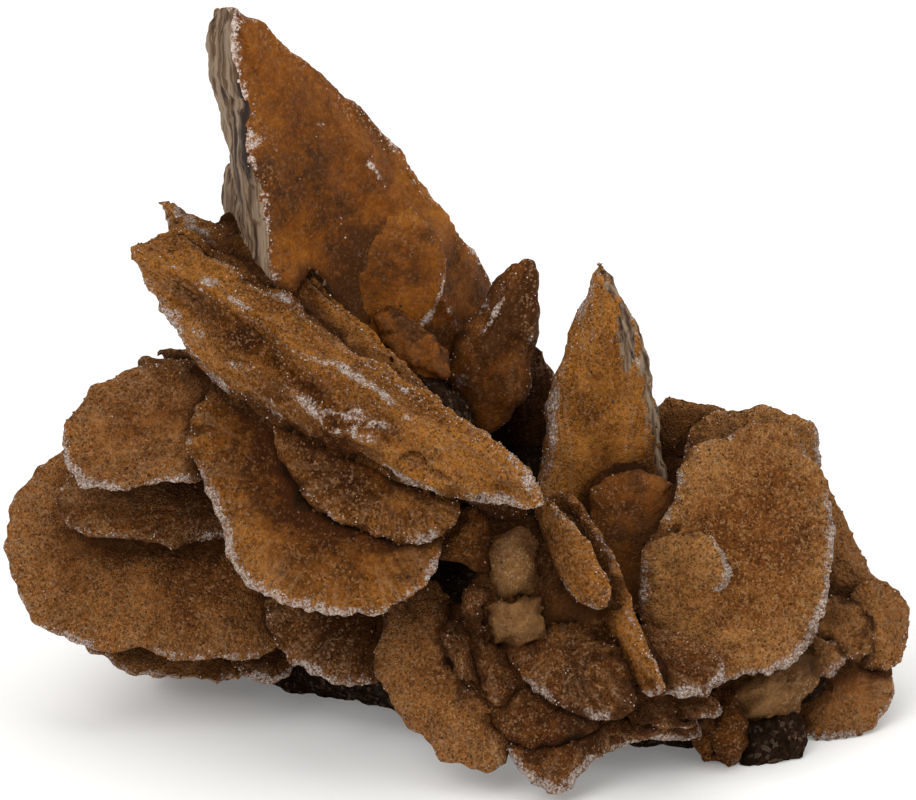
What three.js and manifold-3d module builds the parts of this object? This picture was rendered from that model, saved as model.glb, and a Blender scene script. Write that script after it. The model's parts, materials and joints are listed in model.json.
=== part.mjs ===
// Gypsum sand rose (desert rose): lens-shaped gypsum blades that fan out of a dark, sandy
// matrix. Every blade is one closed crystal; where two blades meet, the one listed later
// stops a small gap short of the one listed earlier.
// Millimetres, +Z up. The rose stands on Z = 0 with its richest side facing -Y.

import * as THREE from 'three';
import { mergeVertices } from 'three/addons/utils/BufferGeometryUtils.js';
import Module from 'manifold-3d';

const wasm = await Module();
wasm.setup();

// ---------------------------------------------------------------- driving dimensions
const GAP = 0.35;             // open joint left between neighbouring crystals
const RIM = 1.2;              // thickness of a blade at its edge
const RIM_STEP = 3.2;         // length of one straight step of a blade's edge
const RIM_POINTS = [14, 40];  // fewest and most points around a blade's edge
const WAIST = 0.55;           // where the middle ring of a blade lies, from centre to edge
const FLOOR_DEPTH = 60;       // depth of the block that trims everything below Z = 0
const FLOOR_WIDTH = 300;
const MATRIX_CENTRE = [10, 10];
const MATRIX_LEAN = 0.3;      // how far the matrix leans back per millimetre of height
const MATRIX_STEPS = 36;      // points around the matrix

const MATERIALS = {
  amber: new THREE.MeshStandardMaterial({ color: 0x96591f, roughness: 0.5, metalness: 0 }),
  sandy: new THREE.MeshStandardMaterial({ color: 0x80562f, roughness: 0.8, metalness: 0 }),
  cream: new THREE.MeshStandardMaterial({ color: 0xb08f63, roughness: 0.6, metalness: 0 }),
  matrix: new THREE.MeshStandardMaterial({ color: 0x3a2a20, roughness: 0.95, metalness: 0 }),
};

// ---------------------------------------------------------------- blade placement
// strike: compass turn of the blade's face about Z, 0 facing -Y, positive towards +X.
// dip: tilt of the face from level (0) to upright (90); over 90 it overhangs.
// turn: direction of the blade's long axis in its own plane, from the level line.
function bladeAxes({ strike, dip, turn = 0 }) {
  const s = THREE.MathUtils.degToRad(strike);
  const d = THREE.MathUtils.degToRad(dip);
  const level = new THREE.Vector3(Math.cos(s), Math.sin(s), 0);
  const slope = new THREE.Vector3(-Math.sin(s) * Math.cos(d), Math.cos(s) * Math.cos(d), Math.sin(d));
  const face = new THREE.Vector3().crossVectors(level, slope);
  const t = THREE.MathUtils.degToRad(turn);
  const along = level.clone().multiplyScalar(Math.cos(t)).addScaledVector(slope, Math.sin(t));
  const across = new THREE.Vector3().crossVectors(face, along);
  return { along, across, face };
}

function placement(blade) {
  const { along, across, face } = bladeAxes(blade);
  const matrix = new THREE.Matrix4().makeBasis(along, across, face);
  return matrix.setPosition(new THREE.Vector3(...blade.at));
}

// The place of a layer that lies on a blade's front: x and y in the blade's plane.
function onFace(blade, x, y, lift) {
  return new THREE.Vector3(x, y, lift).applyMatrix4(placement(blade)).toArray();
}

// ---------------------------------------------------------------- blade outlines
function rimPoints(perimeter) {
  return THREE.MathUtils.clamp(Math.round(perimeter / RIM_STEP), ...RIM_POINTS);
}

// A petal, spear or shell: two half superellipses that meet at the widest place.
// tip and heel set how square (over 2) or pointed (under 2) each end is.
function petalOutline({ length, width, widest = 0.5, tip = 2, heel = 2, bend = 0 }) {
  const points = [];
  const count = rimPoints(Math.PI * Math.hypot(length, width) / Math.SQRT2);
  for (let i = 0; i < count; i += 1) {
    const angle = (2 * Math.PI * i) / count;
    const towardsTip = Math.cos(angle) >= 0;
    const power = 2 / (towardsTip ? tip : heel);
    const reach = Math.abs(Math.cos(angle)) ** power;
    const along = towardsTip ? widest + (1 - widest) * reach : widest - widest * reach;
    const across = Math.sign(Math.sin(angle)) * Math.abs(Math.sin(angle)) ** power;
    const x = (along - 0.5) * length;
    const y = (across * width) / 2 + bend * 4 * along * (1 - along);
    points.push(new THREE.Vector2(x, y));
  }
  return points;
}

// A blade with a shape of its own: a smooth closed curve through a few drawn points.
function drawnOutline(points) {
  const corners = points.map(([x, y]) => new THREE.Vector3(x, y, 0));
  const curve = new THREE.CatmullRomCurve3(corners, true, 'centripetal');
  const count = rimPoints(curve.getLength());
  const spaced = curve.getSpacedPoints(count).slice(0, count);
  const outline = spaced.map((p) => new THREE.Vector2(p.x, p.y));
  return THREE.ShapeUtils.isClockWise(outline) ? outline.reverse() : outline;
}

// The outline moved outwards by a distance, along its own normals.
function grownOutline(outline, distance) {
  return outline.map((point, i) => {
    const before = outline.at(i - 1);
    const after = outline[(i + 1) % outline.length];
    const outward = new THREE.Vector2(after.y - before.y, before.x - after.x).normalize();
    return point.clone().addScaledVector(outward, distance);
  });
}

// ---------------------------------------------------------------- blade solids
// Rings of points: front edge, front waist, front centre, and the same behind.
// The front bulges like a lens; wedge adds thickness behind the blade's left edge,
// and cup lifts the edge forwards so that the blade is a shallow bowl.
function bladeGeometry(blade, grow = 0) {
  const { thick = 4, rim = RIM, wedge = 0, cup = 0 } = blade;
  const plain = blade.points ? drawnOutline(blade.points) : petalOutline(blade);
  const outline = grownOutline(plain, grow);
  const centre = outline.reduce((sum, p) => sum.add(p), new THREE.Vector2());
  centre.divideScalar(outline.length);
  const left = Math.min(...outline.map((p) => p.x));
  const right = Math.max(...outline.map((p) => p.x));
  const positions = [];
  const addPoint = (x, y, ring, side) => {
    const half = rim / 2 + ((thick - rim) / 2) * (1 - ring ** 2) + grow;
    const behind = side < 0 ? (wedge * (right - x)) / (right - left) : 0;
    positions.push(x, y, side * half - behind + cup * ring ** 2);
  };
  for (const side of [1, -1]) {
    for (const ring of [1, WAIST]) {
      for (const p of outline) {
        const q = centre.clone().lerp(p, ring);
        addPoint(q.x, q.y, ring, side);
      }
    }
    addPoint(centre.x, centre.y, 0, side);
  }
  const geometry = new THREE.BufferGeometry();
  geometry.setAttribute('position', new THREE.Float32BufferAttribute(positions, 3));
  geometry.setIndex(bladeFaces(outline.length));
  return geometry.applyMatrix4(placement(blade));
}

function bladeFaces(count) {
  const faces = [];
  const perSide = 2 * count + 1;
  const quad = (a, b, c, d) => faces.push(a, b, c, a, c, d);
  for (let i = 0; i < count; i += 1) {
    const j = (i + 1) % count;
    const back = perSide;
    quad(i, j, count + j, count + i);
    faces.push(count + i, count + j, 2 * count);
    quad(back + j, back + i, back + count + i, back + count + j);
    faces.push(back + count + j, back + count + i, back + 2 * count);
    quad(j, i, back + i, back + j);
  }
  return faces;
}

// ---------------------------------------------------------------- the sandy matrix
// A low mound with a flat underside. Its footprint is drawn; each level above it is the
// footprint shrunk towards the centre and shifted back.
const MATRIX_FOOTPRINT = [
  [-42, 16], [-32, 6], [-20, 0], [-6, -8], [8, -16], [22, -18], [36, -17], [47, -14],
  [54, -6], [57, 6], [50, 20], [32, 28], [8, 31], [-16, 30], [-36, 26],
];
const MATRIX_LEVELS = [
  { z: 0, size: 0.8 }, { z: 3, size: 0.9 }, { z: 7, size: 1 }, { z: 12, size: 1 },
  { z: 20, size: 0.92 }, { z: 27, size: 0.76 }, { z: 33, size: 0.55 }, { z: 38, size: 0.32 },
];
const MATRIX_TOP = 42;
const HEAP = { centre: [-14, 5, 38], radii: [17, 15, 16] };   // the matrix under the tall blade

function moundGeometry(grow = 0) {
  const corners = MATRIX_FOOTPRINT.map(([x, y]) => new THREE.Vector3(x, y, 0));
  const curve = new THREE.CatmullRomCurve3(corners, true, 'centripetal');
  const spaced = curve.getSpacedPoints(MATRIX_STEPS).slice(0, MATRIX_STEPS);
  const footprint = spaced.map((p) => new THREE.Vector2(p.x, p.y));
  const centre = new THREE.Vector2(...MATRIX_CENTRE);
  const positions = [centre.x, centre.y, -grow];
  MATRIX_LEVELS.forEach(({ z, size }, level) => {
    const ring = footprint.map((p, i) => {
      const lump = 1 + 0.04 * Math.sin(i * 1.1 + level * 0.8) * Math.min(level, 1);
      return centre.clone().lerp(p, size * lump);
    });
    const height = level === 0 ? -grow : z;
    for (const p of grownOutline(ring, grow)) {
      positions.push(p.x, p.y + MATRIX_LEAN * z, height);
    }
  });
  positions.push(centre.x, centre.y + MATRIX_LEAN * MATRIX_TOP, MATRIX_TOP + grow);
  const geometry = new THREE.BufferGeometry();
  geometry.setAttribute('position', new THREE.Float32BufferAttribute(positions, 3));
  geometry.setIndex(matrixFaces());
  return geometry;
}

function heapGeometry(grow = 0) {
  const [rx, ry, rz] = HEAP.radii.map((radius) => radius + grow);
  const heap = new THREE.IcosahedronGeometry(1, 2);
  return heap.scale(rx, ry, rz).translate(...HEAP.centre);
}

function matrixFaces() {
  const faces = [];
  const levels = MATRIX_LEVELS.length;
  const at = (level, i) => 1 + level * MATRIX_STEPS + (i % MATRIX_STEPS);
  const top = 1 + levels * MATRIX_STEPS;
  for (let i = 0; i < MATRIX_STEPS; i += 1) {
    faces.push(0, at(0, i + 1), at(0, i));
    for (let level = 0; level < levels - 1; level += 1) {
      faces.push(at(level, i), at(level, i + 1), at(level + 1, i + 1));
      faces.push(at(level, i), at(level + 1, i + 1), at(level + 1, i));
    }
    faces.push(at(levels - 1, i), at(levels - 1, i + 1), top);
  }
  return faces;
}

// ---------------------------------------------------------------- the crystals
const TALL_BLADE = {
  name: 'tall_blade', at: [-12, 6, 74], strike: 35, dip: 84, thick: 3, rim: 1.6, wedge: 6.5,
  points: [[-20, 33], [-12, 27], [-1, 16], [9, 4], [16, -6], [21, -16], [24, -27], [18, -36],
    [-1, -33], [-13, -20], [-18, -2], [-20, 18]],
};

const SPIRES = [
  TALL_BLADE,
  {
    name: 'tall_blade_layer', at: onFace(TALL_BLADE, -1, -6, 2.3), strike: 31, dip: 84,
    thick: 1.8, rim: 1.2,
    points: [[3, 8], [7, 7], [10, 2], [10, -5], [6, -11], [-2, -12], [-9, -6], [-11, 2], [-5, 8]],
  },
  {
    name: 'spike_blade', at: [21, 4, 46], strike: 10, dip: 80, thick: 5.5, rim: 1.4, wedge: 2,
    points: [[0, 22], [4, 14], [7, 4], [9, -8], [9, -16], [5, -24], [-4, -23], [-9, -14],
      [-8, 1], [-4, 13]],
  },
  { name: 'tall_blade_splinter', at: [-31, 7, 75], strike: -50, dip: 88, turn: 100, length: 15,
    width: 7, tip: 3, thick: 3 },
  { name: 'crest_blade', at: [5, 8, 54], strike: -5, dip: 85, turn: 87, length: 26, width: 12,
    widest: 0.5, tip: 3.2, thick: 4 },
  { name: 'shadow_blade', at: [11, 13, 44], strike: 0, dip: 85, turn: 93, length: 18, width: 9,
    tip: 1.5, thick: 4 },
  { name: 'inner_ridge', at: [-6, -2, 58], strike: 10, dip: 75, turn: 134, length: 14, width: 7,
    thick: 4 },
];

const SLABS = [
  {
    name: 'slab_front', at: [-20, -11, 58], strike: -18, dip: 70, thick: 6.5, rim: 2,
    points: [[-28, 13], [-25, 17], [-18, 16], [-5, 9], [11, 0], [23, -6], [35, -15], [25, -16],
      [11, -13], [-4, -9], [-14, -4], [-24, 7]],
  },
  {
    name: 'slab_back', at: [-22, -3, 63], strike: -12, dip: 66, thick: 4,
    points: [[-22, 15], [-14, 12], [-5, 10], [6, 2], [17, -7], [22, -14], [17, -20], [5, -16],
      [-6, -8], [-19, 10]],
  },
  { name: 'slab_keel', at: [-1, -14, 43], strike: -5, dip: 92, turn: 146, length: 27, width: 9,
    widest: 0.6, tip: 2.5, thick: 5 },
];

const LEFT_PETALS = [
  { name: 'middle_petal', at: [-13, -17, 45], strike: -8, dip: 56, turn: 148, length: 29,
    width: 16, widest: 0.6, thick: 4.5 },
  {
    name: 'front_left_petal', at: [-21, -17, 39], strike: -5, dip: 52, thick: 4.2, cup: 0.8,
    points: [[-17, 11], [-12, 20], [0, 22], [13, 14], [18, 3], [18, -8], [11, -15], [1, -15],
      [-8, -10], [-13, -1]],
  },
  { name: 'upper_left_petal', at: [-37, -7, 46], strike: 0, dip: 50, turn: 183, length: 38,
    width: 18, widest: 0.65, tip: 2.6, bend: -2, thick: 4.5, cup: 0.6 },
  { name: 'small_left_petal', at: [-40, -3, 34], strike: 2, dip: 55, turn: 179, length: 35,
    width: 11, widest: 0.65, tip: 2.6, heel: 3, thick: 4 },
  {
    name: 'far_left_petal', at: [-47, -2, 24], strike: -2, dip: 52, thick: 4.5, cup: 0.6,
    points: [[-19, 2], [-16, 12], [-8, 18], [6, 18], [22, 13], [28, 4], [25, -8], [13, -14],
      [0, -13], [-12, -10]],
  },
  { name: 'lower_left_petal', at: [-36, 5, 15], strike: 2, dip: 50, turn: 188, length: 42,
    width: 22, widest: 0.6, tip: 1.6, heel: 3, thick: 4 },
  { name: 'left_shard_low', at: [-33, 2, 49], strike: -5, dip: 45, turn: 160, length: 30, width: 8,
    widest: 0.4, tip: 1.5, thick: 2.4 },
  { name: 'left_shard_high', at: [-32, 5, 50], strike: -5, dip: 45, turn: 160, length: 26,
    width: 8, widest: 0.4, tip: 1.5, thick: 2.4 },
  {
    name: 'under_petal', at: [-17, -12, 19], strike: -2, dip: 52, thick: 4,
    points: [[-11, 3], [-8, 10], [2, 13], [11, 9], [12, 2], [8, -7], [0, -8], [-7, -5]],
  },
  { name: 'under_petal_small', at: [-28, -3, 13], strike: 0, dip: 50, turn: -94, length: 12,
    width: 11, widest: 0.65, thick: 3.4 },
];

const RIGHT_PETALS = [
  {
    name: 'fin_right', at: [21, -21, 28], strike: -45, dip: 80, thick: 2.6,
    points: [[-12, 11], [-8, 11], [-3, 7], [6, -2], [13, -10], [9, -12], [-3, -3], [-13, 7]],
  },
  { name: 'fin_left', at: [16, -22, 34], strike: -50, dip: 80, turn: -30, length: 20, width: 8,
    thick: 3.2 },
  {
    name: 'right_petal', at: [40, -10, 28], strike: 12, dip: 60, thick: 4.2, cup: 1,
    points: [[-7, 14], [-3, 18], [5, 20], [11, 18], [14, 8], [13, -4], [8, -13], [-1, -17],
      [-9, -17], [-14, -13], [-15, -3], [-12, 5]],
  },
  { name: 'inner_right_petal', at: [33, -15, 29], strike: 0, dip: 62, turn: 18, length: 13,
    width: 11, widest: 0.4, thick: 3 },
  { name: 'cup_petal', at: [26, -6, 29], strike: -8, dip: 72, turn: -83, length: 22, width: 15,
    widest: 0.4, tip: 3, heel: 2.6, thick: 3.4 },
  {
    name: 'right_top_blade', at: [44, 4, 31], strike: 8, dip: 70, thick: 4.5,
    points: [[-11, 9], [-7, 13], [7, 13], [9, 7], [10, -8], [4, -19], [-6, -17], [-12, 0]],
  },
  { name: 'right_back_blade', at: [35, 10, 29], strike: 8, dip: 78, turn: 91, length: 32,
    width: 16, tip: 3, heel: 3, thick: 4.5 },
  { name: 'right_shell_outer', at: [61, -1, 14], strike: 22, dip: 58, turn: -93, length: 14,
    width: 11, thick: 3.5 },
  { name: 'right_shell_inner', at: [55, -4, 15], strike: 15, dip: 56, turn: -40, length: 13,
    width: 10, thick: 3.5 },
  { name: 'right_shell_small', at: [50, -8, 13], strike: 8, dip: 58, turn: -12, length: 12,
    width: 7, thick: 3.5 },
  { name: 'right_shell_low', at: [55, -5, 6], strike: 12, dip: 58, turn: 18, length: 18,
    width: 17, widest: 0.4, heel: 1.6, thick: 4.5 },
  {
    name: 'far_right_slab', at: [55, 6, 18], strike: 25, dip: 60, thick: 5.5,
    points: [[-2, 20], [3, 14], [6, 3], [11, -9], [7, -14], [-3, -13], [-14, -3], [-12, 12]],
  },
];

const LOWER_FRONT = [
  {
    name: 'rim_plate_upper', at: [27, -26, 19], strike: -5, dip: 48, thick: 2.8,
    points: [[-11, 4], [-7, 6], [2, 5], [9, 2], [10, -2], [3, -4], [-4, -3]],
  },
  { name: 'rim_plate_lower', at: [29, -24, 14], strike: -5, dip: 48, turn: -15, length: 17,
    width: 7, widest: 0.4, thick: 2.8 },
  { name: 'cream_knob_upper', at: [8, -18, 31], strike: 0, dip: 75, turn: -81, length: 10,
    width: 7, widest: 0.6, thick: 9, rim: 3, material: 'cream' },
  { name: 'cream_knob_lower', at: [8, -22, 25], strike: 0, dip: 75, turn: -39, length: 9,
    width: 7, thick: 9, rim: 3, material: 'cream' },
  { name: 'amber_wedge', at: [1, -17, 35], strike: -5, dip: 75, turn: -35, length: 13, width: 7,
    tip: 1.4, thick: 5 },
  { name: 'middle_shell', at: [16, -26, 19], strike: -10, dip: 60, turn: -29, length: 20,
    width: 12, thick: 3.8, material: 'sandy' },
  { name: 'upper_shell', at: [25, -24, 15], strike: -5, dip: 56, turn: -27, length: 20,
    width: 9, widest: 0.4, thick: 3.5, material: 'sandy' },
  { name: 'low_shell', at: [12, -25, 13], strike: -5, dip: 58, turn: 0, length: 17, width: 13,
    thick: 4, material: 'sandy' },
  {
    name: 'sandy_blade', at: [-3, -22, 15], strike: -12, dip: 66, thick: 5, material: 'sandy',
    points: [[-9, 1], [-7, 14], [-1, 14], [5, 6], [11, -5], [10, -11], [2, -10], [-6, -5]],
  },
  {
    name: 'keel_blade', at: [19, -26, 9], strike: 8, dip: 60, thick: 4.5, material: 'sandy',
    points: [[-12, -2], [-10, 7], [-3, 11], [5, 9], [13, 4], [15, -2], [7, -2], [0, -4],
      [-5, -8], [-9, -7]],
  },
  { name: 'rib_left', at: [1, -23, 19], strike: -15, dip: 75, turn: -60, length: 12, width: 5,
    widest: 0.4, heel: 3, thick: 6, material: 'sandy' },
  { name: 'rib_upper', at: [4, -21, 25], strike: -8, dip: 72, turn: -61, length: 10, width: 6,
    widest: 0.4, thick: 6, material: 'sandy' },
  { name: 'rib_lower', at: [5, -24, 18], strike: -8, dip: 72, turn: -70, length: 12, width: 6,
    thick: 6, material: 'sandy' },
  { name: 'amber_plate', at: [43, -12, 10], strike: 8, dip: 75, turn: 19, length: 19, width: 12,
    widest: 0.6, tip: 1.6, heel: 3, thick: 6, material: 'cream' },
  { name: 'amber_post', at: [37, -17, 5], strike: 5, dip: 82, turn: -81, length: 12, width: 7,
    tip: 3, heel: 3, thick: 6 },
  { name: 'matrix_knob', at: [43, -14, 2], strike: 10, dip: 70, turn: 0, length: 13, width: 8,
    tip: 3, heel: 3, thick: 7, rim: 4, material: 'matrix' },
];

// The far side: a low ring of petals that opens towards +Y, and taller ones above it.
const BACK_RING = {
  names: ['back_ring_1', 'back_ring_2', 'back_ring_3', 'back_ring_4', 'back_ring_5'],
  centre: [8, 12], radii: [44, 26], height: 13, firstAngle: 18, lastAngle: 162,
};

function backRingPetals({ names, centre, radii, height, firstAngle, lastAngle }) {
  return names.map((name, i) => {
    const angle = THREE.MathUtils.lerp(firstAngle, lastAngle, i / (names.length - 1));
    const outward = THREE.MathUtils.degToRad(angle);
    const sway = Math.sin(i * 2.6);
    const x = centre[0] + radii[0] * Math.cos(outward);
    const y = centre[1] + radii[1] * Math.sin(outward);
    return {
      name, at: [x, y, height + sway], strike: angle + 90 + 7 * sway, dip: 52 + 5 * sway,
      turn: -90 + 20 * Math.sin(i * 1.9), length: 32 + 3 * sway, width: 28 - 3 * sway,
      widest: 0.6, tip: 2.4, thick: 4.5, cup: 0.8,
    };
  });
}

const BACK_BLADES = [
  ...backRingPetals(BACK_RING),
  { name: 'back_left_petal', at: [-36, 22, 30], strike: 240, dip: 58, turn: -100, length: 34,
    width: 25, widest: 0.6, tip: 2.4, thick: 4.5 },
  { name: 'back_middle_petal', at: [-14, 29, 35], strike: 196, dip: 60, turn: -80, length: 38,
    width: 28, widest: 0.6, tip: 2.4, thick: 5 },
  { name: 'back_centre_petal', at: [12, 38, 26], strike: 178, dip: 60, turn: -95, length: 32,
    width: 30, widest: 0.6, tip: 2.4, thick: 4.5 },
  { name: 'back_right_petal', at: [40, 32, 22], strike: 150, dip: 58, turn: -85, length: 28,
    width: 26, widest: 0.6, tip: 2.4, thick: 4.5 },
  { name: 'back_tall_blade', at: [-18, 18, 54], strike: 200, dip: 74, turn: 100, length: 42,
    width: 23, widest: 0.4, tip: 1.6, thick: 5 },
  { name: 'back_short_blade', at: [-3, 22, 43], strike: 165, dip: 72, turn: 80, length: 30,
    width: 20, widest: 0.4, tip: 1.8, thick: 5 },
];

// ---------------------------------------------------------------- cutting and assembly
function toSolid(geometry) {
  const bare = geometry.clone();
  bare.deleteAttribute('normal');
  bare.deleteAttribute('uv');
  const merged = mergeVertices(bare, 1e-5);
  const vertProperties = new Float32Array(merged.attributes.position.array);
  const triVerts = new Uint32Array(merged.index.array);
  return new wasm.Manifold(new wasm.Mesh({ numProp: 3, vertProperties, triVerts }));
}

function toGeometry(solid) {
  const { vertProperties, triVerts } = solid.getMesh();
  const geometry = new THREE.BufferGeometry();
  geometry.setAttribute('position', new THREE.Float32BufferAttribute(vertProperties, 3));
  geometry.setIndex(new THREE.BufferAttribute(new Uint32Array(triVerts), 1));
  return geometry;
}

function largestBody(solid) {
  const bodies = solid.decompose();
  return bodies.reduce((best, body) => (body.volume() > best.volume() ? body : best));
}

function floorBlock() {
  const block = new THREE.BoxGeometry(FLOOR_WIDTH, FLOOR_WIDTH, FLOOR_DEPTH);
  return block.translate(0, 0, -FLOOR_DEPTH / 2);
}

function matrixSolid(grow = 0) {
  return toSolid(moundGeometry(grow)).add(toSolid(heapGeometry(grow)));
}

function crystalMesh(blade, solid) {
  const place = placement(blade);
  const geometry = toGeometry(solid).applyMatrix4(place.clone().invert());
  const mesh = new THREE.Mesh(geometry, MATERIALS[blade.material ?? 'amber']);
  mesh.name = blade.name;
  mesh.applyMatrix4(place);
  return mesh;
}

function buildRose() {
  const rose = new THREE.Group();
  const matrix = new THREE.Mesh(toGeometry(matrixSolid()), MATERIALS.matrix);
  matrix.name = 'sandy_matrix';
  rose.add(matrix);
  const taken = [toSolid(floorBlock()), matrixSolid(GAP)];
  const crystals = [
    ...SLABS, ...SPIRES, ...LEFT_PETALS, ...RIGHT_PETALS, ...LOWER_FRONT,
    ...BACK_BLADES,
  ];
  for (const blade of crystals) {
    let solid = toSolid(bladeGeometry(blade));
    for (const other of taken) {
      solid = solid.subtract(other);
    }
    rose.add(crystalMesh(blade, largestBody(solid)));
    taken.push(toSolid(bladeGeometry(blade, GAP)));
  }
  return rose;
}

// The origin goes under the middle of the rose's bounding box, at the level it stands on.
function centreOnFloor(rose) {
  const box = new THREE.Box3().setFromObject(rose, true);
  rose.position.x = -(box.min.x + box.max.x) / 2;
  rose.position.y = -(box.min.y + box.max.y) / 2;
  rose.updateMatrixWorld(true);
  return rose;
}

export default centreOnFloor(buildRose());
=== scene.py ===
"""Looks of a gypsum sand rose (desert rose), grown round its packed crystals.

Every crystal of the CAD frame is regrown in its own place as a weathered mesh with chipped
rims, growth steps and radial flutes, then crusted with loose sand and sugary gypsum grains.
Metres, +Z up, the rose's richest side facing -Y.
"""

import sys

import json
import logging
import math
from dataclasses import dataclass, field, replace
from enum import Enum
from typing import Any, Optional, Sequence

import bmesh
import bpy
import numpy as np
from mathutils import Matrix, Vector
from mathutils.bvhtree import BVHTree
from mathutils.kdtree import KDTree


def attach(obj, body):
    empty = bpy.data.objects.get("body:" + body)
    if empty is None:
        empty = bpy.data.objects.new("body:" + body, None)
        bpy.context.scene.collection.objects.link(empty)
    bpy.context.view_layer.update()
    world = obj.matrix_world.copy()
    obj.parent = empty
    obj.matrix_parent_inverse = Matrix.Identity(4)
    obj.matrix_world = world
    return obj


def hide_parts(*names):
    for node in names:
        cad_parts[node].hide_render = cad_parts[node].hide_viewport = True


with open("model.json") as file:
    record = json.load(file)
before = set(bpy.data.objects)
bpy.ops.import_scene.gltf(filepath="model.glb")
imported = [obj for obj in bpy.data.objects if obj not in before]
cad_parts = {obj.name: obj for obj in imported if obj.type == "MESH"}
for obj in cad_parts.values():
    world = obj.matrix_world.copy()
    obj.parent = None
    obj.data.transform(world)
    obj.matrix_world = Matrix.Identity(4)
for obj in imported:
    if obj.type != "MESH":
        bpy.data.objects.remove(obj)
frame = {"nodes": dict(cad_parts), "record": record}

LOG = logging.getLogger("sand_rose")
MM = 0.001
CORE = np.array([0.009, 0.002, 0.024])  # the middle of the matrix, where the blades root
GYPSUM_IOR = 1.52
NO_RIM = 20.0  # the distance, in millimetres, given to a spot with no free rim near it
RIMLESS = 7.0  # and the one given to every spot of a lump, which has no rim at all
STEP_PEAK = 0.84  # a growth step rises slowly to this share of its width, then drops
SUNK_SHADE = 0.4  # the share of its shelter that a half-sunk crystal still shows
RIB_REACH = 3.6  # how far in from the rim the ribs fade, in millimetres
THIN_REACH = 1.6  # and the thinning of the blade
CHIP_REACH = 1.8  # and the chips
COMB_REACH = 1.3  # and the notches between the ribs
GRAIN_TURN = 6.28  # a loose grain may be turned up to this far about each axis, in radians
GOLDEN_TURN = math.pi * (3 - math.sqrt(5))
HASH_STEPS = (73856093, 19349663, 83492791)  # large primes that tell neighbouring cells apart

# What every weathered mesh tells its finish.
FIELDS = ("rim_mm", "fan_mm", "sheltered", "tone", "crest", "crusted", "bruised")

# The gypsum's noises: name, size in millimetres, detail and roughness. Real powder and grit are
# finer than this, and are drawn as coarse as they need to be to show.
NOISES = (
    ("mottle", 2.4, 8.0, 0.72),
    ("fine", 0.7, 4.0, 0.75),
    ("stains", 4.0, 6.0, 0.7),
    ("specks", 1.6, 5.0, 0.8),
    ("drifts", 6.0, 4.0, 0.65),
    ("crumbs", 0.9, 4.0, 0.7),
    ("breaks", 7.0, 2.0, 0.5),
    ("powder", 0.38, 3.0, 0.7),
    ("blotches", 3.0, 4.0, 0.5),
    ("pits", 1.3, 6.0, 0.72),
    ("grit", 0.5, 3.0, 0.7),
)


# ------------------------------------------------------------------ colour and node helpers
def linear(colour: str) -> tuple[float, float, float, float]:
    """Turns an sRGB hex colour into linear RGBA.

    Args:
        colour: six hex digits after a hash sign.

    Returns:
        Linear red, green and blue, and an alpha of one.
    """
    parts = [int(colour[i : i + 2], 16) / 255 for i in (1, 3, 5)]
    light = [c / 12.92 if c <= 0.04045 else ((c + 0.055) / 1.055) ** 2.4 for c in parts]
    return (light[0], light[1], light[2], 1.0)


def per_metre(size_mm: float) -> float:
    """Gives the texture scale at which a pattern repeats about every size_mm millimetres."""
    return 1.0 / (size_mm * MM)


def add_node(
    tree: bpy.types.NodeTree,
    kind: str,
    settings: Optional[dict[str, Any]] = None,
    values: Optional[dict[Any, Any]] = None,
    links: Optional[dict[Any, bpy.types.NodeSocket]] = None,
) -> bpy.types.Node:
    """Adds a node with its settings and links.

    Args:
        tree: the node tree it goes into.
        kind: the node's type.
        settings: the node's own properties.
        values: default values of its inputs, by name or number.
        links: the sockets that feed its inputs, by name or number.

    Returns:
        The new node.
    """
    node = tree.nodes.new(kind)
    for key, value in (settings or {}).items():
        setattr(node, key, value)
    for socket, value in (values or {}).items():
        node.inputs[socket].default_value = value
    for socket, source in (links or {}).items():
        tree.links.new(source, node.inputs[socket])
    return node


# ------------------------------------------------------------------ finishes
class Finish:
    """A surface finish that is built into one Blender material."""

    name: str

    def build(self) -> bpy.types.Material:
        """Makes the material.

        Returns:
            The finished material.
        """
        material = bpy.data.materials.new(self.name)
        material.use_nodes = True
        tree = material.node_tree
        tree.nodes.clear()
        output = add_node(tree, "ShaderNodeOutputMaterial")
        tree.links.new(self.surface(tree), output.inputs["Surface"])
        return material

    def surface(self, tree: bpy.types.NodeTree) -> bpy.types.NodeSocket:
        """Builds the shader; each finish has its own."""
        raise NotImplementedError


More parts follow.
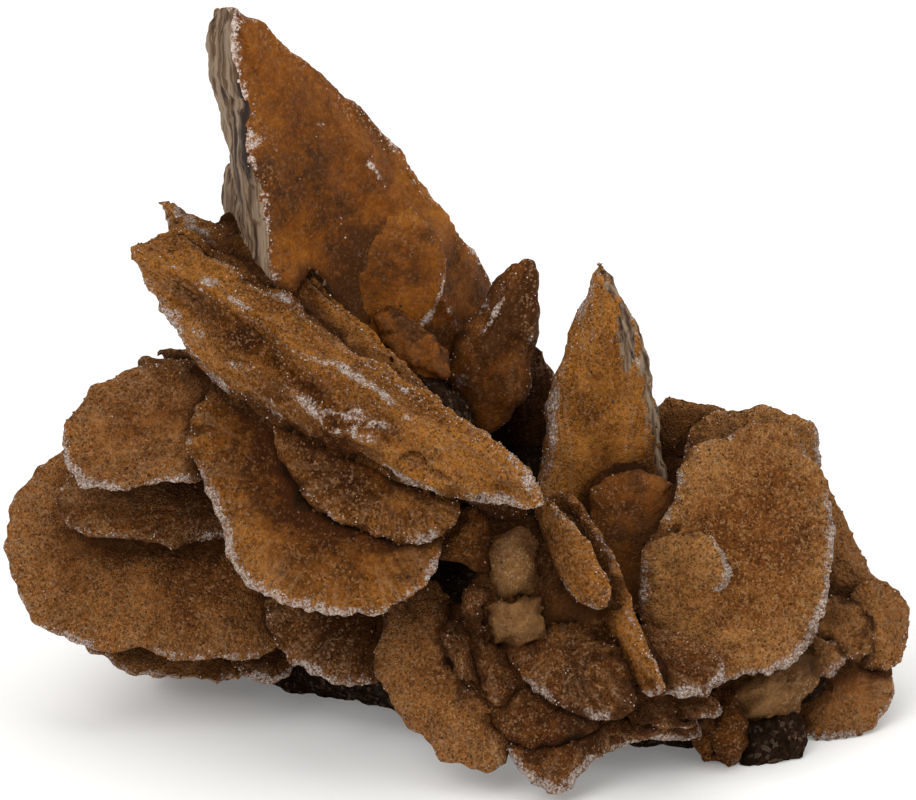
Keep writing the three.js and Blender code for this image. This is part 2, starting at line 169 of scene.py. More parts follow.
@dataclass(frozen=True)
class GypsumFinish(Finish):
    """Selenite grown through iron-stained sand: waxy, translucent, honey to rust brown.

    Sizes are in millimetres. The patches give the uneven staining, the crust its sand
    specks, and the chalk the bruised white rims and step edges.
    """

    name: str
    deep: str
    body: str
    bright: str
    stain: str = "#3a1e0c"
    chalk: str = "#e2d5cb"
    bruise: str = "#94705c"
    sand: str = "#5a3a1e"
    pale_sand: str = "#c8a888"
    # near black, for the deepest hollows: dirt and painted shade
    dirt_and_shade: str = "#170c06"
    gloss_tint: str = "#ffcf96"
    patch: float = 11.0
    clouded: float = 1.0
    rooted: float = 0.0
    crusted: float = 0.35
    lined: float = 0.3
    specked: float = 0.75
    grain: float = 0.3
    rim_width: float = 0.4
    rim_strength: float = 0.9
    roughness: float = 0.5
    specular: float = 0.3
    translucency: float = 0.12
    bump: float = 0.5

    def surface(self, tree: bpy.types.NodeTree) -> bpy.types.NodeSocket:
        """Builds the gypsum shader.

        Args:
            tree: the material's node tree.

        Returns:
            The shader's output socket.
        """
        place = add_node(tree, "ShaderNodeTexCoord").outputs["Object"]
        read = {
            key: add_node(tree, "ShaderNodeAttribute", {"attribute_name": key}).outputs["Fac"]
            for key in FIELDS
        }
        for key, size, detail, fineness in (("patches", self.patch, 5.0, 0.6), *NOISES):
            read[key] = add_node(
                tree, "ShaderNodeTexNoise",
                values={"Scale": per_metre(size), "Detail": detail, "Roughness": fineness,
                        "Distortion": 0.5 if key == "patches" else 0.0},
                links={"Vector": place},
            ).outputs["Fac"]
        lines = self._growth_lines(tree, read)
        colour = self._mix(
            tree, self._body_colour(tree, read), linear(self.pale_sand), lines, self.lined
        )
        coverage = self._coverage(tree, read)
        colour, grains = self._sand(tree, place, coverage, colour)
        colour, chalked = self._chalk(tree, read, colour)
        # dirt and painted shade, darker where the rays meet stone close round
        colour = self._dirt_and_painted_shade(tree, read, colour)
        rough = add_node(
            tree, "ShaderNodeMapRange", values={"To Min": self.roughness, "To Max": 0.95},
            links={"Value": self._sum(tree, (coverage, 0.7), (chalked, 0.5))},
        )
        shader = add_node(
            tree, "ShaderNodeBsdfPrincipled",
            values={
                "IOR": GYPSUM_IOR,
                "Specular IOR Level": self.specular,
                "Specular Tint": linear(self.gloss_tint),
                "Subsurface Weight": self.translucency,
                "Subsurface Radius": (1.0, 0.45, 0.15),
                "Subsurface Scale": 2.5 * MM,
            },
            links={"Base Color": colour, "Roughness": rough.outputs[0],
                   "Normal": self._bumps(tree, read, grains, lines)},
        )
        return shader.outputs["BSDF"]

    def _mix(
        self,
        tree: bpy.types.NodeTree,
        under: bpy.types.NodeSocket,
        over: tuple[float, float, float, float],
        amount: bpy.types.NodeSocket,
        strength: float,
    ) -> bpy.types.NodeSocket:
        """Lays one colour over another.

        Args:
            tree: the material's node tree.
            under: the colour below.
            over: the colour above, as linear RGBA.
            amount: where it lies, from nought to one.
            strength: the most of it that shows.

        Returns:
            The mixed colour.
        """
        share = add_node(
            tree, "ShaderNodeMath", {"operation": "MULTIPLY", "use_clamp": True},
            {1: strength}, {0: amount},
        )
        mixed = add_node(
            tree, "ShaderNodeMix", {"data_type": "RGBA"}, {7: over},
            {0: share.outputs[0], 6: under},
        )
        return mixed.outputs[2]

    def _sum(
        self, tree: bpy.types.NodeTree, *terms: tuple[bpy.types.NodeSocket, float]
    ) -> bpy.types.NodeSocket:
        """Adds sockets, each with its own weight.

        Args:
            tree: the material's node tree.
            terms: each socket and its weight.

        Returns:
            The weighted sum.
        """
        total = None
        for socket, weight in terms:
            node = add_node(
                tree, "ShaderNodeMath", {"operation": "MULTIPLY_ADD"},
                {1: weight, 2: 0.0}, {0: socket, **({2: total} if total else {})},
            )
            total = node.outputs[0]
        return total

    def _body_colour(
        self, tree: bpy.types.NodeTree, read: dict[str, bpy.types.NodeSocket]
    ) -> bpy.types.NodeSocket:
        """Stains the crystal from deep rust through its body colour to honey.

        Args:
            tree: the material's node tree.
            read: the mesh's fields and the noises.

        Returns:
            The colour.
        """
        level = self._sum(
            tree, (read["patches"], 0.45 * self.clouded), (read["tone"], 0.14),
            (read["mottle"], 0.27), (read["fine"], 0.27), (read["rim_mm"], -0.45 * self.rooted),
        )
        ramp = add_node(tree, "ShaderNodeValToRGB", links={"Fac": level})
        middle = 0.225 * self.clouded + 0.26  # the level's own middle
        stops = ((middle - 0.11, self.deep), (middle, self.body), (middle + 0.13, self.bright))
        ramp.color_ramp.elements.new(0.5)
        for element, (at, colour) in zip(ramp.color_ramp.elements, stops):
            element.position = at
            element.color = linear(colour)
        colour = ramp.outputs["Color"]
        for key, low, high, strength in (
            ("stains", 0.54, 0.72, 0.42), ("specks", 0.60, 0.67, self.specked)
        ):
            spotted = add_node(
                tree, "ShaderNodeMapRange", values={"From Min": low, "From Max": high},
                links={"Value": read[key]},
            ).outputs[0]
            colour = self._mix(tree, colour, linear(self.stain), spotted, strength)
        return colour

    def _growth_lines(
        self, tree: bpy.types.NodeTree, read: dict[str, bpy.types.NodeSocket]
    ) -> bpy.types.NodeSocket:
        """Fine lines that fan out towards the rim, about 0.9 mm apart.

        Args:
            tree: the material's node tree.
            read: the mesh's fields and the noises.

        Returns:
            The lines, from nought to one.
        """
        along, across = (
            add_node(
                tree, "ShaderNodeMath", {"operation": "MULTIPLY"}, {1: scale}, {0: read[key]}
            ).outputs[0]
            for key, scale in (("rim_mm", 0.12), ("fan_mm", 1 / 0.9))
        )
        grid = add_node(tree, "ShaderNodeCombineXYZ", links={"X": across, "Y": along})
        noise = add_node(
            tree, "ShaderNodeTexNoise", values={"Scale": 1.0, "Detail": 3.0},
            links={"Vector": grid.outputs[0]},
        ).outputs["Fac"]
        sharp, near = (
            add_node(
                tree, "ShaderNodeMapRange", values={"From Min": low, "From Max": high},
                links={"Value": source},
            ).outputs[0]
            for source, low, high in ((noise, 0.47, 0.62), (read["rim_mm"], 7.5, 0.8))
        )
        return add_node(
            tree, "ShaderNodeMath", {"operation": "MULTIPLY"}, links={0: sharp, 1: near}
        ).outputs[0]

    def _coverage(
        self, tree: bpy.types.NodeTree, read: dict[str, bpy.types.NodeSocket]
    ) -> bpy.types.NodeSocket:
        """Where the sand crust lies, thickest in a band a few millimetres inside the rim.

        Args:
            tree: the material's node tree.
            read: the mesh's fields and the noises.

        Returns:
            Coverage from nought to one.
        """
        band = add_node(
            tree, "ShaderNodeMapRange", values={"From Min": 6.0, "From Max": 1.0},
            links={"Value": read["rim_mm"]},
        ).outputs[0]
        level = self._sum(tree, (read["drifts"], 1.0), (read["crusted"], 0.35), (band, 0.2))
        bare = 0.72 - 0.45 * self.crusted
        return add_node(
            tree, "ShaderNodeMapRange",
            values={"From Min": bare, "From Max": bare + 0.23, "To Min": 0.22, "To Max": 1.0},
            links={"Value": level},
        ).outputs[0]

    def _sand(
        self,
        tree: bpy.types.NodeTree,
        place: bpy.types.NodeSocket,
        coverage: bpy.types.NodeSocket,
        colour: bpy.types.NodeSocket,
    ) -> tuple[bpy.types.NodeSocket, bpy.types.NodeSocket]:
        """Presses dark and pale sand grains into the surface.

        Args:
            tree: the material's node tree.
            place: Object coordinates.
            coverage: where the crust lies.
            colour: the colour below.

        Returns:
            The colour with its grains, and the grains' height.
        """
        cells = add_node(
            tree, "ShaderNodeTexVoronoi", values={"Scale": per_metre(self.grain)},
            links={"Vector": place},
        )
        kind = add_node(
            tree, "ShaderNodeSeparateColor", links={0: cells.outputs["Color"]}
        ).outputs
        lying = [
            add_node(
                tree, "ShaderNodeMath", {"operation": "MULTIPLY"},
                links={1: coverage, 0: add_node(
                    tree, "ShaderNodeMapRange", values={"From Min": low, "From Max": high},
                    links={"Value": source},
                ).outputs[0]},
            ).outputs[0]
            for source, low, high in (
                (kind[0], 0.60, 0.75), (kind[1], 0.84, 0.92), (kind[2], 0.80, 0.90),
                (cells.outputs["Distance"], 0.6, 0.0),
            )
        ]
        grains = ((self.sand, 0.4), (self.stain, 0.5), (self.pale_sand, 0.55))
        for (grain, strength), spot in zip(grains, lying):
            colour = self._mix(tree, colour, linear(grain), spot, strength)
        return colour, lying[3]

    def _chalk(
        self,
        tree: bpy.types.NodeTree,
        read: dict[str, bpy.types.NodeSocket],
        colour: bpy.types.NodeSocket,
    ) -> tuple[bpy.types.NodeSocket, bpy.types.NodeSocket]:
        """Bruises the rims and the edges of the growth steps white, in broken lines.

        Args:
            tree: the material's node tree.
            read: the mesh's fields and the noises.
            colour: the colour below.

        Returns:
            The colour and where it is chalky.
        """
        crumbs, breaks, powder = (read[key] for key in ("crumbs", "breaks", "powder"))
        edge = self._sum(
            tree, (read["rim_mm"], 1.0), (crumbs, -3.4), (breaks, -3.6), (read["bruised"], -1.6)
        )
        raised = self._sum(tree, (read["crest"], 1.0), (crumbs, 1.6), (breaks, 1.4))
        rim_chalk, crest_chalk, whiteness = (
            add_node(
                tree, "ShaderNodeMapRange", values={"From Min": low, "From Max": high},
                links={"Value": source},
            ).outputs[0]
            for source, low, high in (
                (edge, self.rim_width - 4.05, self.rim_width - 4.75), (raised, 2.15, 2.6),
                (powder, 0.41, 0.59),
            )
        )
        both = add_node(
            tree, "ShaderNodeMath", {"operation": "MAXIMUM"}, links={0: rim_chalk, 1: crest_chalk}
        ).outputs[0]
        broken = add_node(
            tree, "ShaderNodeMapRange", values={"From Min": 1.0, "From Max": 1.45},
            links={"Value": self._sum(tree, (both, 0.75), (powder, 1.4))},
        ).outputs[0]
        crumbled = add_node(
            tree, "ShaderNodeMath", {"operation": "MULTIPLY"}, links={0: broken, 1: both}
        ).outputs[0]
        tan = add_node(
            tree, "ShaderNodeMix", {"data_type": "RGBA"},
            {6: linear(self.bruise), 7: linear(self.chalk)}, {0: whiteness},
        ).outputs[2]
        share = add_node(
            tree, "ShaderNodeMath", {"operation": "MULTIPLY", "use_clamp": True},
            {1: self.rim_strength}, {0: crumbled},
        ).outputs[0]
        whitened = add_node(
            tree, "ShaderNodeMix", {"data_type": "RGBA"}, links={0: share, 6: colour, 7: tan}
        ).outputs[2]
        return whitened, crumbled

    def _dirt_and_painted_shade(
        self,
        tree: bpy.types.NodeTree,
        read: dict[str, bpy.types.NodeSocket],
        colour: bpy.types.NodeSocket,
    ) -> bpy.types.NodeSocket:
        """Darkens the sheltered hollows with dirt and painted shade.

        Args:
            tree: the material's node tree.
            read: the mesh's fields and the noises.
            colour: the colour below.

        Returns:
            The colour with its dirt and painted shade.
        """
        # painted shade with dirt: the more enclosed a point is, the darker it is painted
        level = self._sum(tree, (read["sheltered"], 1.0), (read["blotches"], 0.35))
        for low, high, layer, strength in (
            (0.20, 0.54, self.deep, 0.8), (0.66, 1.0, self.dirt_and_shade, 0.92)
        ):
            lying = add_node(
                tree, "ShaderNodeMapRange", values={"From Min": low, "From Max": high},
                links={"Value": level},
            ).outputs[0]
            colour = self._mix(tree, colour, linear(layer), lying, strength)
        return colour

    def _bumps(
        self,
        tree: bpy.types.NodeTree,
        read: dict[str, bpy.types.NodeSocket],
        grains: bpy.types.NodeSocket,
        lines: bpy.types.NodeSocket,
    ) -> bpy.types.NodeSocket:
        """Raises the grains, lines and pitting that are finer than the mesh.

        Args:
            tree: the material's node tree.
            read: the mesh's fields and the noises.
            grains: height of the sand grains.
            lines: the fanned growth lines.

        Returns:
            The bumped normal.
        """
        height = self._sum(
            tree, (read["grit"], 0.9), (read["patches"], 1.0), (grains, 1.3),
            (lines, 2.0 * self.lined), (read["pits"], 2.0),
        )
        return add_node(
            tree, "ShaderNodeBump", values={"Strength": self.bump, "Distance": 0.5 * MM},
            links={"Height": height},
        ).outputs["Normal"]


@dataclass(frozen=True)
class FibrousFinish(Finish):
    """Gypsum split along its cleavage: a dull grey-beige face of fine upright fibres.

    Real fibres are a few tenths of a millimetre apart. They are drawn 1 mm apart, as coarse as they
    need to be to show, and run upright, darker in the grooves between them.
    """

    name: str
    pale: str = "#8c7862"
    fibre: str = "#5e432b"
    dark: str = "#24140a"
    spacing: float = 1.0

    def surface(self, tree: bpy.types.NodeTree) -> bpy.types.NodeSocket:
        """Builds the fibrous shader.

        Args:
            tree: the material's node tree.

        Returns:
            The shader's output socket.
        """
        place = add_node(tree, "ShaderNodeTexCoord").outputs["Object"]
        streaks = []
        for spacing, stretch in ((self.spacing, 0.035), (2.4 * self.spacing, 0.02)):
            squeezed = add_node(
                tree, "ShaderNodeMapping", values={"Scale": (1.0, 1.0, stretch)},
                links={"Vector": place},
            )
            streaks.append(add_node(
                tree, "ShaderNodeTexNoise",
                values={"Scale": per_metre(spacing), "Detail": 4.0, "Roughness": 0.65},
                links={"Vector": squeezed.outputs[0]},
            ).outputs["Fac"])
        ramp = add_node(tree, "ShaderNodeValToRGB", links={"Fac": streaks[0]})
        ramp.color_ramp.elements.new(0.5)
        stops = ((0.34, self.dark), (0.46, self.fibre), (0.58, self.pale))
        for element, (at, colour) in zip(ramp.color_ramp.elements, stops):
            element.position = at
            element.color = linear(colour)
        bands = add_node(
            tree, "ShaderNodeMapRange", values={"From Min": 0.54, "From Max": 0.64},
            links={"Value": streaks[1]},
        ).outputs[0]
        colour = add_node(
            tree, "ShaderNodeMix", {"data_type": "RGBA"}, {7: linear(self.dark)},
            {0: bands, 6: ramp.outputs["Color"]},
        ).outputs[2]
        bump = add_node(
            tree, "ShaderNodeBump", values={"Strength": 0.35, "Distance": 0.3 * MM},
            links={"Height": streaks[0]},
        ).outputs["Normal"]
        shader = add_node(
            tree, "ShaderNodeBsdfPrincipled",
            values={"Roughness": 0.72, "IOR": GYPSUM_IOR, "Specular IOR Level": 0.3},
            links={"Base Color": colour, "Normal": bump},
        )
        return shader.outputs["BSDF"]


@dataclass(frozen=True)
class GrainFinish(Finish):
    """Loose grains: each one takes its own colour from a short range, dull and rough."""

    name: str
    colours: tuple[str, ...]
    grain: float = 0.9
    roughness: float = 0.8
    specular: float = 0.3
    pitting: float = 0.25

    def surface(self, tree: bpy.types.NodeTree) -> bpy.types.NodeSocket:
        """Builds the grains' shader.

        Args:
            tree: the material's node tree.

        Returns:
            The shader's output socket.
        """
        place = add_node(tree, "ShaderNodeTexCoord").outputs["Object"]
        cells = add_node(
            tree, "ShaderNodeTexVoronoi", values={"Scale": per_metre(self.grain)},
            links={"Vector": place},
        )
        level = add_node(tree, "ShaderNodeSeparateColor", links={0: cells.outputs["Color"]})
        ramp = add_node(tree, "ShaderNodeValToRGB", links={"Fac": level.outputs[0]})
        while len(ramp.color_ramp.elements) < len(self.colours):
            ramp.color_ramp.elements.new(0.5)
        last = len(self.colours) - 1
        for i, (element, colour) in enumerate(zip(ramp.color_ramp.elements, self.colours)):
            element.position = i / last
            element.color = linear(colour)
        pits = add_node(
            tree, "ShaderNodeTexNoise", values={"Scale": per_metre(0.3), "Detail": 3.0},
            links={"Vector": place},
        ).outputs["Fac"]
        bump = add_node(
            tree, "ShaderNodeBump", values={"Strength": self.pitting, "Distance": 0.1 * MM},
            links={"Height": pits},
        ).outputs["Normal"]
        shader = add_node(
            tree, "ShaderNodeBsdfPrincipled",
            values={"Roughness": self.roughness, "IOR": 1.54, "Specular IOR Level": self.specular},
            links={"Base Color": ramp.outputs["Color"], "Normal": bump},
        )
        return shader.outputs["BSDF"]


@dataclass(frozen=True)
class BackdropFinish(Finish):
    """Matte white seamless paper, lit from below: even and pale, with a faint tooth."""

    name: str = "matte_white_backdrop_paper"
    colour: str = "#f8f7f5"
    glow: float = 0.14

    def surface(self, tree: bpy.types.NodeTree) -> bpy.types.NodeSocket:
        """Builds the paper's shader.

        Args:
            tree: the material's node tree.

        Returns:
            The shader's output socket.
        """
        place = add_node(tree, "ShaderNodeTexCoord").outputs["Object"]
        tooth = add_node(
            tree, "ShaderNodeTexNoise", values={"Scale": per_metre(1.2), "Detail": 2.0},
            links={"Vector": place},
        ).outputs["Fac"]
        bump = add_node(
            tree, "ShaderNodeBump", values={"Strength": 0.05, "Distance": 0.05 * MM},
            links={"Height": tooth},
        ).outputs["Normal"]
        shader = add_node(
            tree, "ShaderNodeBsdfPrincipled",
            values={"Base Color": linear(self.colour), "Roughness": 0.9,
                    "Specular IOR Level": 0.2, "Emission Color": linear(self.colour),
                    "Emission Strength": self.glow},
            links={"Normal": bump},
        )
        return shader.outputs["BSDF"]


# Waxy honey-brown selenite, satin where it is clean, specked where sand is grown in.
AMBER = GypsumFinish(
    name="amber_selenite_gypsum", deep="#3c1905", body="#7c4818", bright="#b87630",
    stain="#2c1405", sand="#3d2210", pale_sand="#b58a64", crusted=0.42, roughness=0.4,
    translucency=0.1, specular=0.2, lined=0.42, bump=0.9, rooted=0.045,
)
# The clearest of the selenite: deep honey, smoother and glossier, with few grains in it.
HONEY = replace(
    AMBER, name="clear_honey_selenite", deep="#3d1a02", body="#783e05", bright="#a06012",
    crusted=0.2, roughness=0.3, specular=0.35, clouded=1.15, patch=13.0, rooted=0.024,
    specked=0.75, bump=0.5, lined=0.08, rim_width=0.3,
)
# The same mineral with its surface full of sand: dull, speckled, darker brown.
SANDY = GypsumFinish(
    name="sand_crusted_gypsum", deep="#3e1c09", body="#7e4b22", bright="#ae723c",
    stain="#2e1608", sand="#42220e", pale_sand="#bc926a", crusted=0.8, roughness=0.5,
    translucency=0.04, specular=0.2, bump=1.0, rim_width=0.35, lined=0.4, rooted=0.022,
)
# Sand stained a bright rust and grown right through the petal: orange-brown and gritty.
RUSTY = replace(
    SANDY, name="rust_sand_gypsum", deep="#4a220a", body="#8a5224", bright="#c08448",
    sand="#52280e", pale_sand="#c89868", rim_width=0.6, rooted=0.022, lined=0.45,
)
# Late-grown gypsum knobs with little iron in them: cream to tan, waxy under a sandy skin.
CREAM = GypsumFinish(
    name="cream_waxy_gypsum", deep="#4a2a12", body="#6e4a28", bright="#92693f",
    stain="#2e1c0e", crusted=0.7, roughness=0.45, translucency=0.12, specular=0.2, bump=0.8,
    rim_strength=0.4,
)
# The iron-rich sand that the rose grew in: crumbly, no gloss, and near black, its own dark sand
# with painted shade for its place under the blades.
MATRIX = GypsumFinish(
    name="dark_sand_matrix_with_painted_shade", deep="#120b07", body="#231610", bright="#3c281b",
    stain="#0d0805", sand="#46301f", pale_sand="#7a6452", crusted=0.9, grain=0.55,
    roughness=0.85, translucency=0.0, specular=0.1, bump=1.0, rim_strength=0.0,
)
# Sand and gypsum cemented into the joints between the crystals: smooth, rusty brown.
CEMENT = GypsumFinish(
    name="rusty_joint_cement", deep="#2c160a", body="#4a2911", bright="#6a421f",
    stain="#1e0f06", sand="#2a160a", pale_sand="#80603f", crusted=0.6, roughness=0.7,
    translucency=0.0, specular=0.1, bump=0.9, rim_strength=0.0,
)
# A split side of the selenite: satin-spar fibres, which show as grey-beige upright streaks.
FIBROUS = FibrousFinish(name="fibrous_cleaved_gypsum")
# Loose wind-blown quartz sand: rounded grains, brown with iron, that break up every surface.
SAND_GRAINS = GrainFinish(
    name="brown_quartz_sand", colours=("#24130a", "#4a2c16", "#6d4627", "#8c6440", "#341d0e"),
)
# Crumbs of clean gypsum on bruised edges: pale, sugary, with a faint sparkle.
SUGAR_GRAINS = GrainFinish(
    name="sugary_gypsum_crumbs", colours=("#8c6a58", "#b59a8a", "#d9ccc2", "#9c7c68"),
    roughness=0.6, specular=0.3,
)


# ------------------------------------------------------------------ seeded noise
def value_noise(points: np.ndarray, size: float, seed: int) -> np.ndarray:
    """A smooth seeded random field.

    Args:
        points: positions, one a row, in millimetres.
        size: distance between its random values, in millimetres.
        seed: picks the field.

    Returns:
        One value a point, from -1 to 1.
    """
    grid = points / size + 31.7 * seed
    cell = np.floor(grid).astype(np.int64)
    part = grid - cell
    part = part * part * (3 - 2 * part)
    total = np.zeros(len(points))
    for corner in range(8):
        step = np.array([(corner >> axis) & 1 for axis in range(3)])
        key = (cell + step) @ np.array(HASH_STEPS) + seed * 668265263
        key = (key ^ (key >> 13)) * 1274126177
        key = (key ^ (key >> 16)) & 0xFFFF
        weight = np.prod(np.where(step == 1, part, 1 - part), axis=1)
        total += weight * (key / 32767.5 - 1)
    return total


def layered_noise(points: np.ndarray, size: float, seed: int, layers: int = 3) -> np.ndarray:
    """Several fields added up, each half as large and half as strong as the one before.

    Args:
        points: positions, one a row, in millimetres.
        size: size of the coarsest field, in millimetres.
        seed: picks the fields.
        layers: how many there are.

    Returns:
        One value a point, roughly from -1 to 1.
    """
    total = np.zeros(len(points))
    for layer in range(layers):
        total += value_noise(points, size / 2**layer, seed + 7 * layer) / 2**layer
    return total / 1.4


def bent(points: np.ndarray) -> np.ndarray:
    """Bends the whole rose a little, neighbours together, so that no blade stays regular.

    Args:
        points: positions in metres.

    Returns:
        How far each point moves, in metres.
    """
    at = points / MM
    rooted = np.clip(at[:, 2:3] / 8.0, 0, 1)
    broad = np.column_stack([value_noise(at, 13.0, 71 + i) for i in range(3)])
    fine = np.column_stack([value_noise(at, 5.0, 81 + i) for i in range(3)])
    return (0.45 * broad + 0.45 * fine) * rooted * MM


# ------------------------------------------------------------------ mesh helpers
def nearest_tree(points: np.ndarray) -> KDTree:
    """Files points so that the ones nearest a place can be looked up.

    Args:
        points: positions, one a row.

    Returns:
        The tree, in which each point has its row's number.
    """
    tree = KDTree(len(points))
    for i, point in enumerate(points):
        tree.insert(point, i)
    tree.balance()
    return tree


def corners(mesh: bpy.types.Mesh) -> np.ndarray:
    """Reads a mesh's points.

    Args:
        mesh: the mesh.

    Returns:
        The points, one a row, in metres.
    """
    flat = np.zeros(3 * len(mesh.vertices), np.float32)
    mesh.vertices.foreach_get("co", flat)
    return flat.reshape(-1, 3).astype(float)


def point_normals(mesh: bpy.types.Mesh) -> np.ndarray:
    """Reads a mesh's point normals.

    Args:
        mesh: the mesh.

    Returns:
        The outward directions, one a row.
    """
    flat = np.zeros(3 * len(mesh.vertices), np.float32)
    mesh.vertex_normals.foreach_get("vector", flat)
    return flat.reshape(-1, 3).astype(float)


def write_field(mesh: bpy.types.Mesh, name: str, values: np.ndarray) -> None:
    """Stores one number a point under a name that the finishes read."""
    layer = mesh.attributes.new(name, "FLOAT", "POINT")
    layer.data.foreach_set("value", values.astype(np.float32))


def merged_copy(node: str) -> bpy.types.Mesh:
    """Copies a CAD node's mesh and joins its loose triangles.

    Args:
        node: the CAD node's name.

    Returns:
        The merged mesh.
    """
    build = bmesh.new()
    build.from_mesh(frame["nodes"][node].data)
    bmesh.ops.remove_doubles(build, verts=build.verts, dist=1e-6)
    mesh = bpy.data.meshes.new(node + "_rough")
    build.to_mesh(mesh)
    build.free()
    return mesh


def evaluated_mesh(piece: bpy.types.Object, name: str) -> bpy.types.Mesh:
    """Turns an object with its modifiers into a plain mesh.

    Args:
        piece: the object; it is removed.
        name: the new mesh's name.

    Returns:
        The plain mesh.
    """
    graph = bpy.context.evaluated_depsgraph_get()
    graph.update()
    mesh = bpy.data.meshes.new_from_object(piece.evaluated_get(graph))
    mesh.name = name
    bpy.data.objects.remove(piece)
    return mesh


def linked_object(name: str, mesh: bpy.types.Mesh) -> bpy.types.Object:
    """Puts a mesh in the scene, at the origin.

    Args:
        name: the object's name.
        mesh: its mesh.

    Returns:
        The object.
    """
    piece = bpy.data.objects.new(name, mesh)
    bpy.context.scene.collection.objects.link(piece)
    return piece


def even_skin(rough: bpy.types.Mesh, name: str, voxel_mm: float) -> bpy.types.Mesh:
    """Turns a mesh into an even skin of small quads, with whatever is inside it gone.

    Args:
        rough: the mesh.
        name: the new mesh's name.
        voxel_mm: the quads' size, in millimetres.

    Returns:
        The even mesh.
    """
    piece = linked_object(name + "_skin", rough)
    remesh = piece.modifiers.new("skin", "REMESH")
    remesh.mode = "VOXEL"
    remesh.voxel_size = voxel_mm * MM
    remesh.use_smooth_shade = True
    smooth = piece.modifiers.new("worn", "SMOOTH")
    smooth.factor = 0.5
    smooth.iterations = 2
    return evaluated_mesh(piece, name)


def move_points(mesh: bpy.types.Mesh, moved: np.ndarray) -> None:
    """Gives a mesh's points new places.

    Args:
        mesh: the mesh.
        moved: the places, one a row, in metres.
    """
    mesh.vertices.foreach_set("co", moved.astype(np.float32).ravel())
    mesh.update()


# ------------------------------------------------------------------ the rose's shelter
@dataclass
class Shelter:
    """Tells how enclosed a point of the rose is by the crystals round it."""

    reach: float = 15 * MM
    rays: int = 20
    lift: float = 0.7 * MM
    fused: tuple[str, ...] = (
        "tall_blade_layer", "inner_ridge", "left_shard_high", "inner_right_petal",
        "crest_blade",
    )

    def __post_init__(self) -> None:
        """Gathers the CAD triangles of every node that isn't fused, and rays that are dense about
        the normal.
        """
        points: list[Vector] = []
        faces: list[list[int]] = []
        self.owners: list[str] = []
        for name, node in frame["nodes"].items():
            if name in self.fused:
                continue
            start = len(points)
            points += [v.co.copy() for v in node.data.vertices]
            faces += [[start + i for i in f.vertices] for f in node.data.polygons]
            self.owners += [name] * len(node.data.polygons)
        self.tree = BVHTree.FromPolygons(points, faces)
        turns = np.arange(self.rays) * GOLDEN_TURN
        level = np.sqrt((np.arange(self.rays) + 0.5) / self.rays)
        self.fan = np.column_stack(
            [level * np.cos(turns), level * np.sin(turns), np.sqrt(1 - level**2)]
        )

    def measure(self, points: np.ndarray, normals: np.ndarray) -> np.ndarray:
        """Casts rays from each point.

        Args:
            points: positions in metres.
            normals: outward directions.

        Returns:
            The share of rays that meet stone nearby, near hits counting more.
        """
        helper = np.where(np.abs(normals[:, 2:3]) < 0.9, [[0.0, 0.0, 1.0]], [[1.0, 0.0, 0.0]])
        side = np.cross(helper, normals)
        side /= np.linalg.norm(side, axis=1, keepdims=True) + 1e-12
        other = np.cross(normals, side)
        found = np.zeros(len(points))
        cast = self.tree.ray_cast
        for i, (point, normal) in enumerate(zip(points, normals)):
            start = Vector(point + normal * self.lift)
            rays = self.fan @ np.array([side[i], other[i], normal])
            total = 0.0
            for ray in rays:
                distance = cast(start, Vector(ray), self.reach)[3]
                if distance is not None:
                    total += 1 - 0.6 * distance / self.reach
            found[i] = total
        return found / self.rays

    def over(self, points: np.ndarray, normals: np.ndarray, every: int = 14) -> np.ndarray:
        """Measures a few points and spreads the result to the rest.

        Args:
            points: positions in metres.
            normals: outward directions.
            every: one point in this many is measured.

        Returns:
            How sheltered each point is, from nought to one.
        """
        order = np.random.default_rng(5).permutation(len(points))
        chosen = order[: max(60, len(points) // every)]
        values = self.measure(points[chosen], normals[chosen])
        tree = nearest_tree(points[chosen])
        spread = np.zeros(len(points))
        for i, point in enumerate(points):
            near = tree.find_n(point, 4)
            weights = [1 / (1e-5 + hit[2]) for hit in near]
            spread[i] = sum(w * values[hit[1]] for w, hit in zip(weights, near)) / sum(weights)
        return spread


# ------------------------------------------------------------------ crystals
class Habit(Enum):
    """How a crystal grew, which decides its surface."""

    PETAL = "petal"  # a flat disc with growth rings inside its rim
    SPIRE = "spire"  # a tall spear with steps along its length
    SLAB = "slab"  # a long bar with broken ridges
    SHELL = "shell"  # a small scallop with ribs that fan out
    KNOB = "knob"  # a rounded lump
    CRUST = "crust"  # crumbly matrix


@dataclass(frozen=True)
class Relief:
    """Surface relief of a crystal, in millimetres.

    Sway, lumps and grit are swellings of about 9, 3 and 1 mm. Chips bite into the rim, which
    is thinned. Steps, ridges and flutes each have a height and a spacing. A ridge line is its
    offset across the blade, its slope, its height and its width. Facets are cleavage planes.
    """

    voxel: float = 0.45
    swell: float = 0.16
    sway: float = 0.45
    lumps: float = 0.22
    grit: float = 0.08
    chips: float = 1.6
    step: float = 0.28
    step_width: float = 3.4
    flutes: float = 0.17
    flute_width: float = 1.7
    along_blade: bool = False
    ridges: float = 0.0
    ridge_gap: float = 5.0
    thinned: float = 0.3
    ridge_lines: tuple[tuple[float, float, float, float], ...] = ()
    facets: float = 0.0
    facet_size: float = 4.5


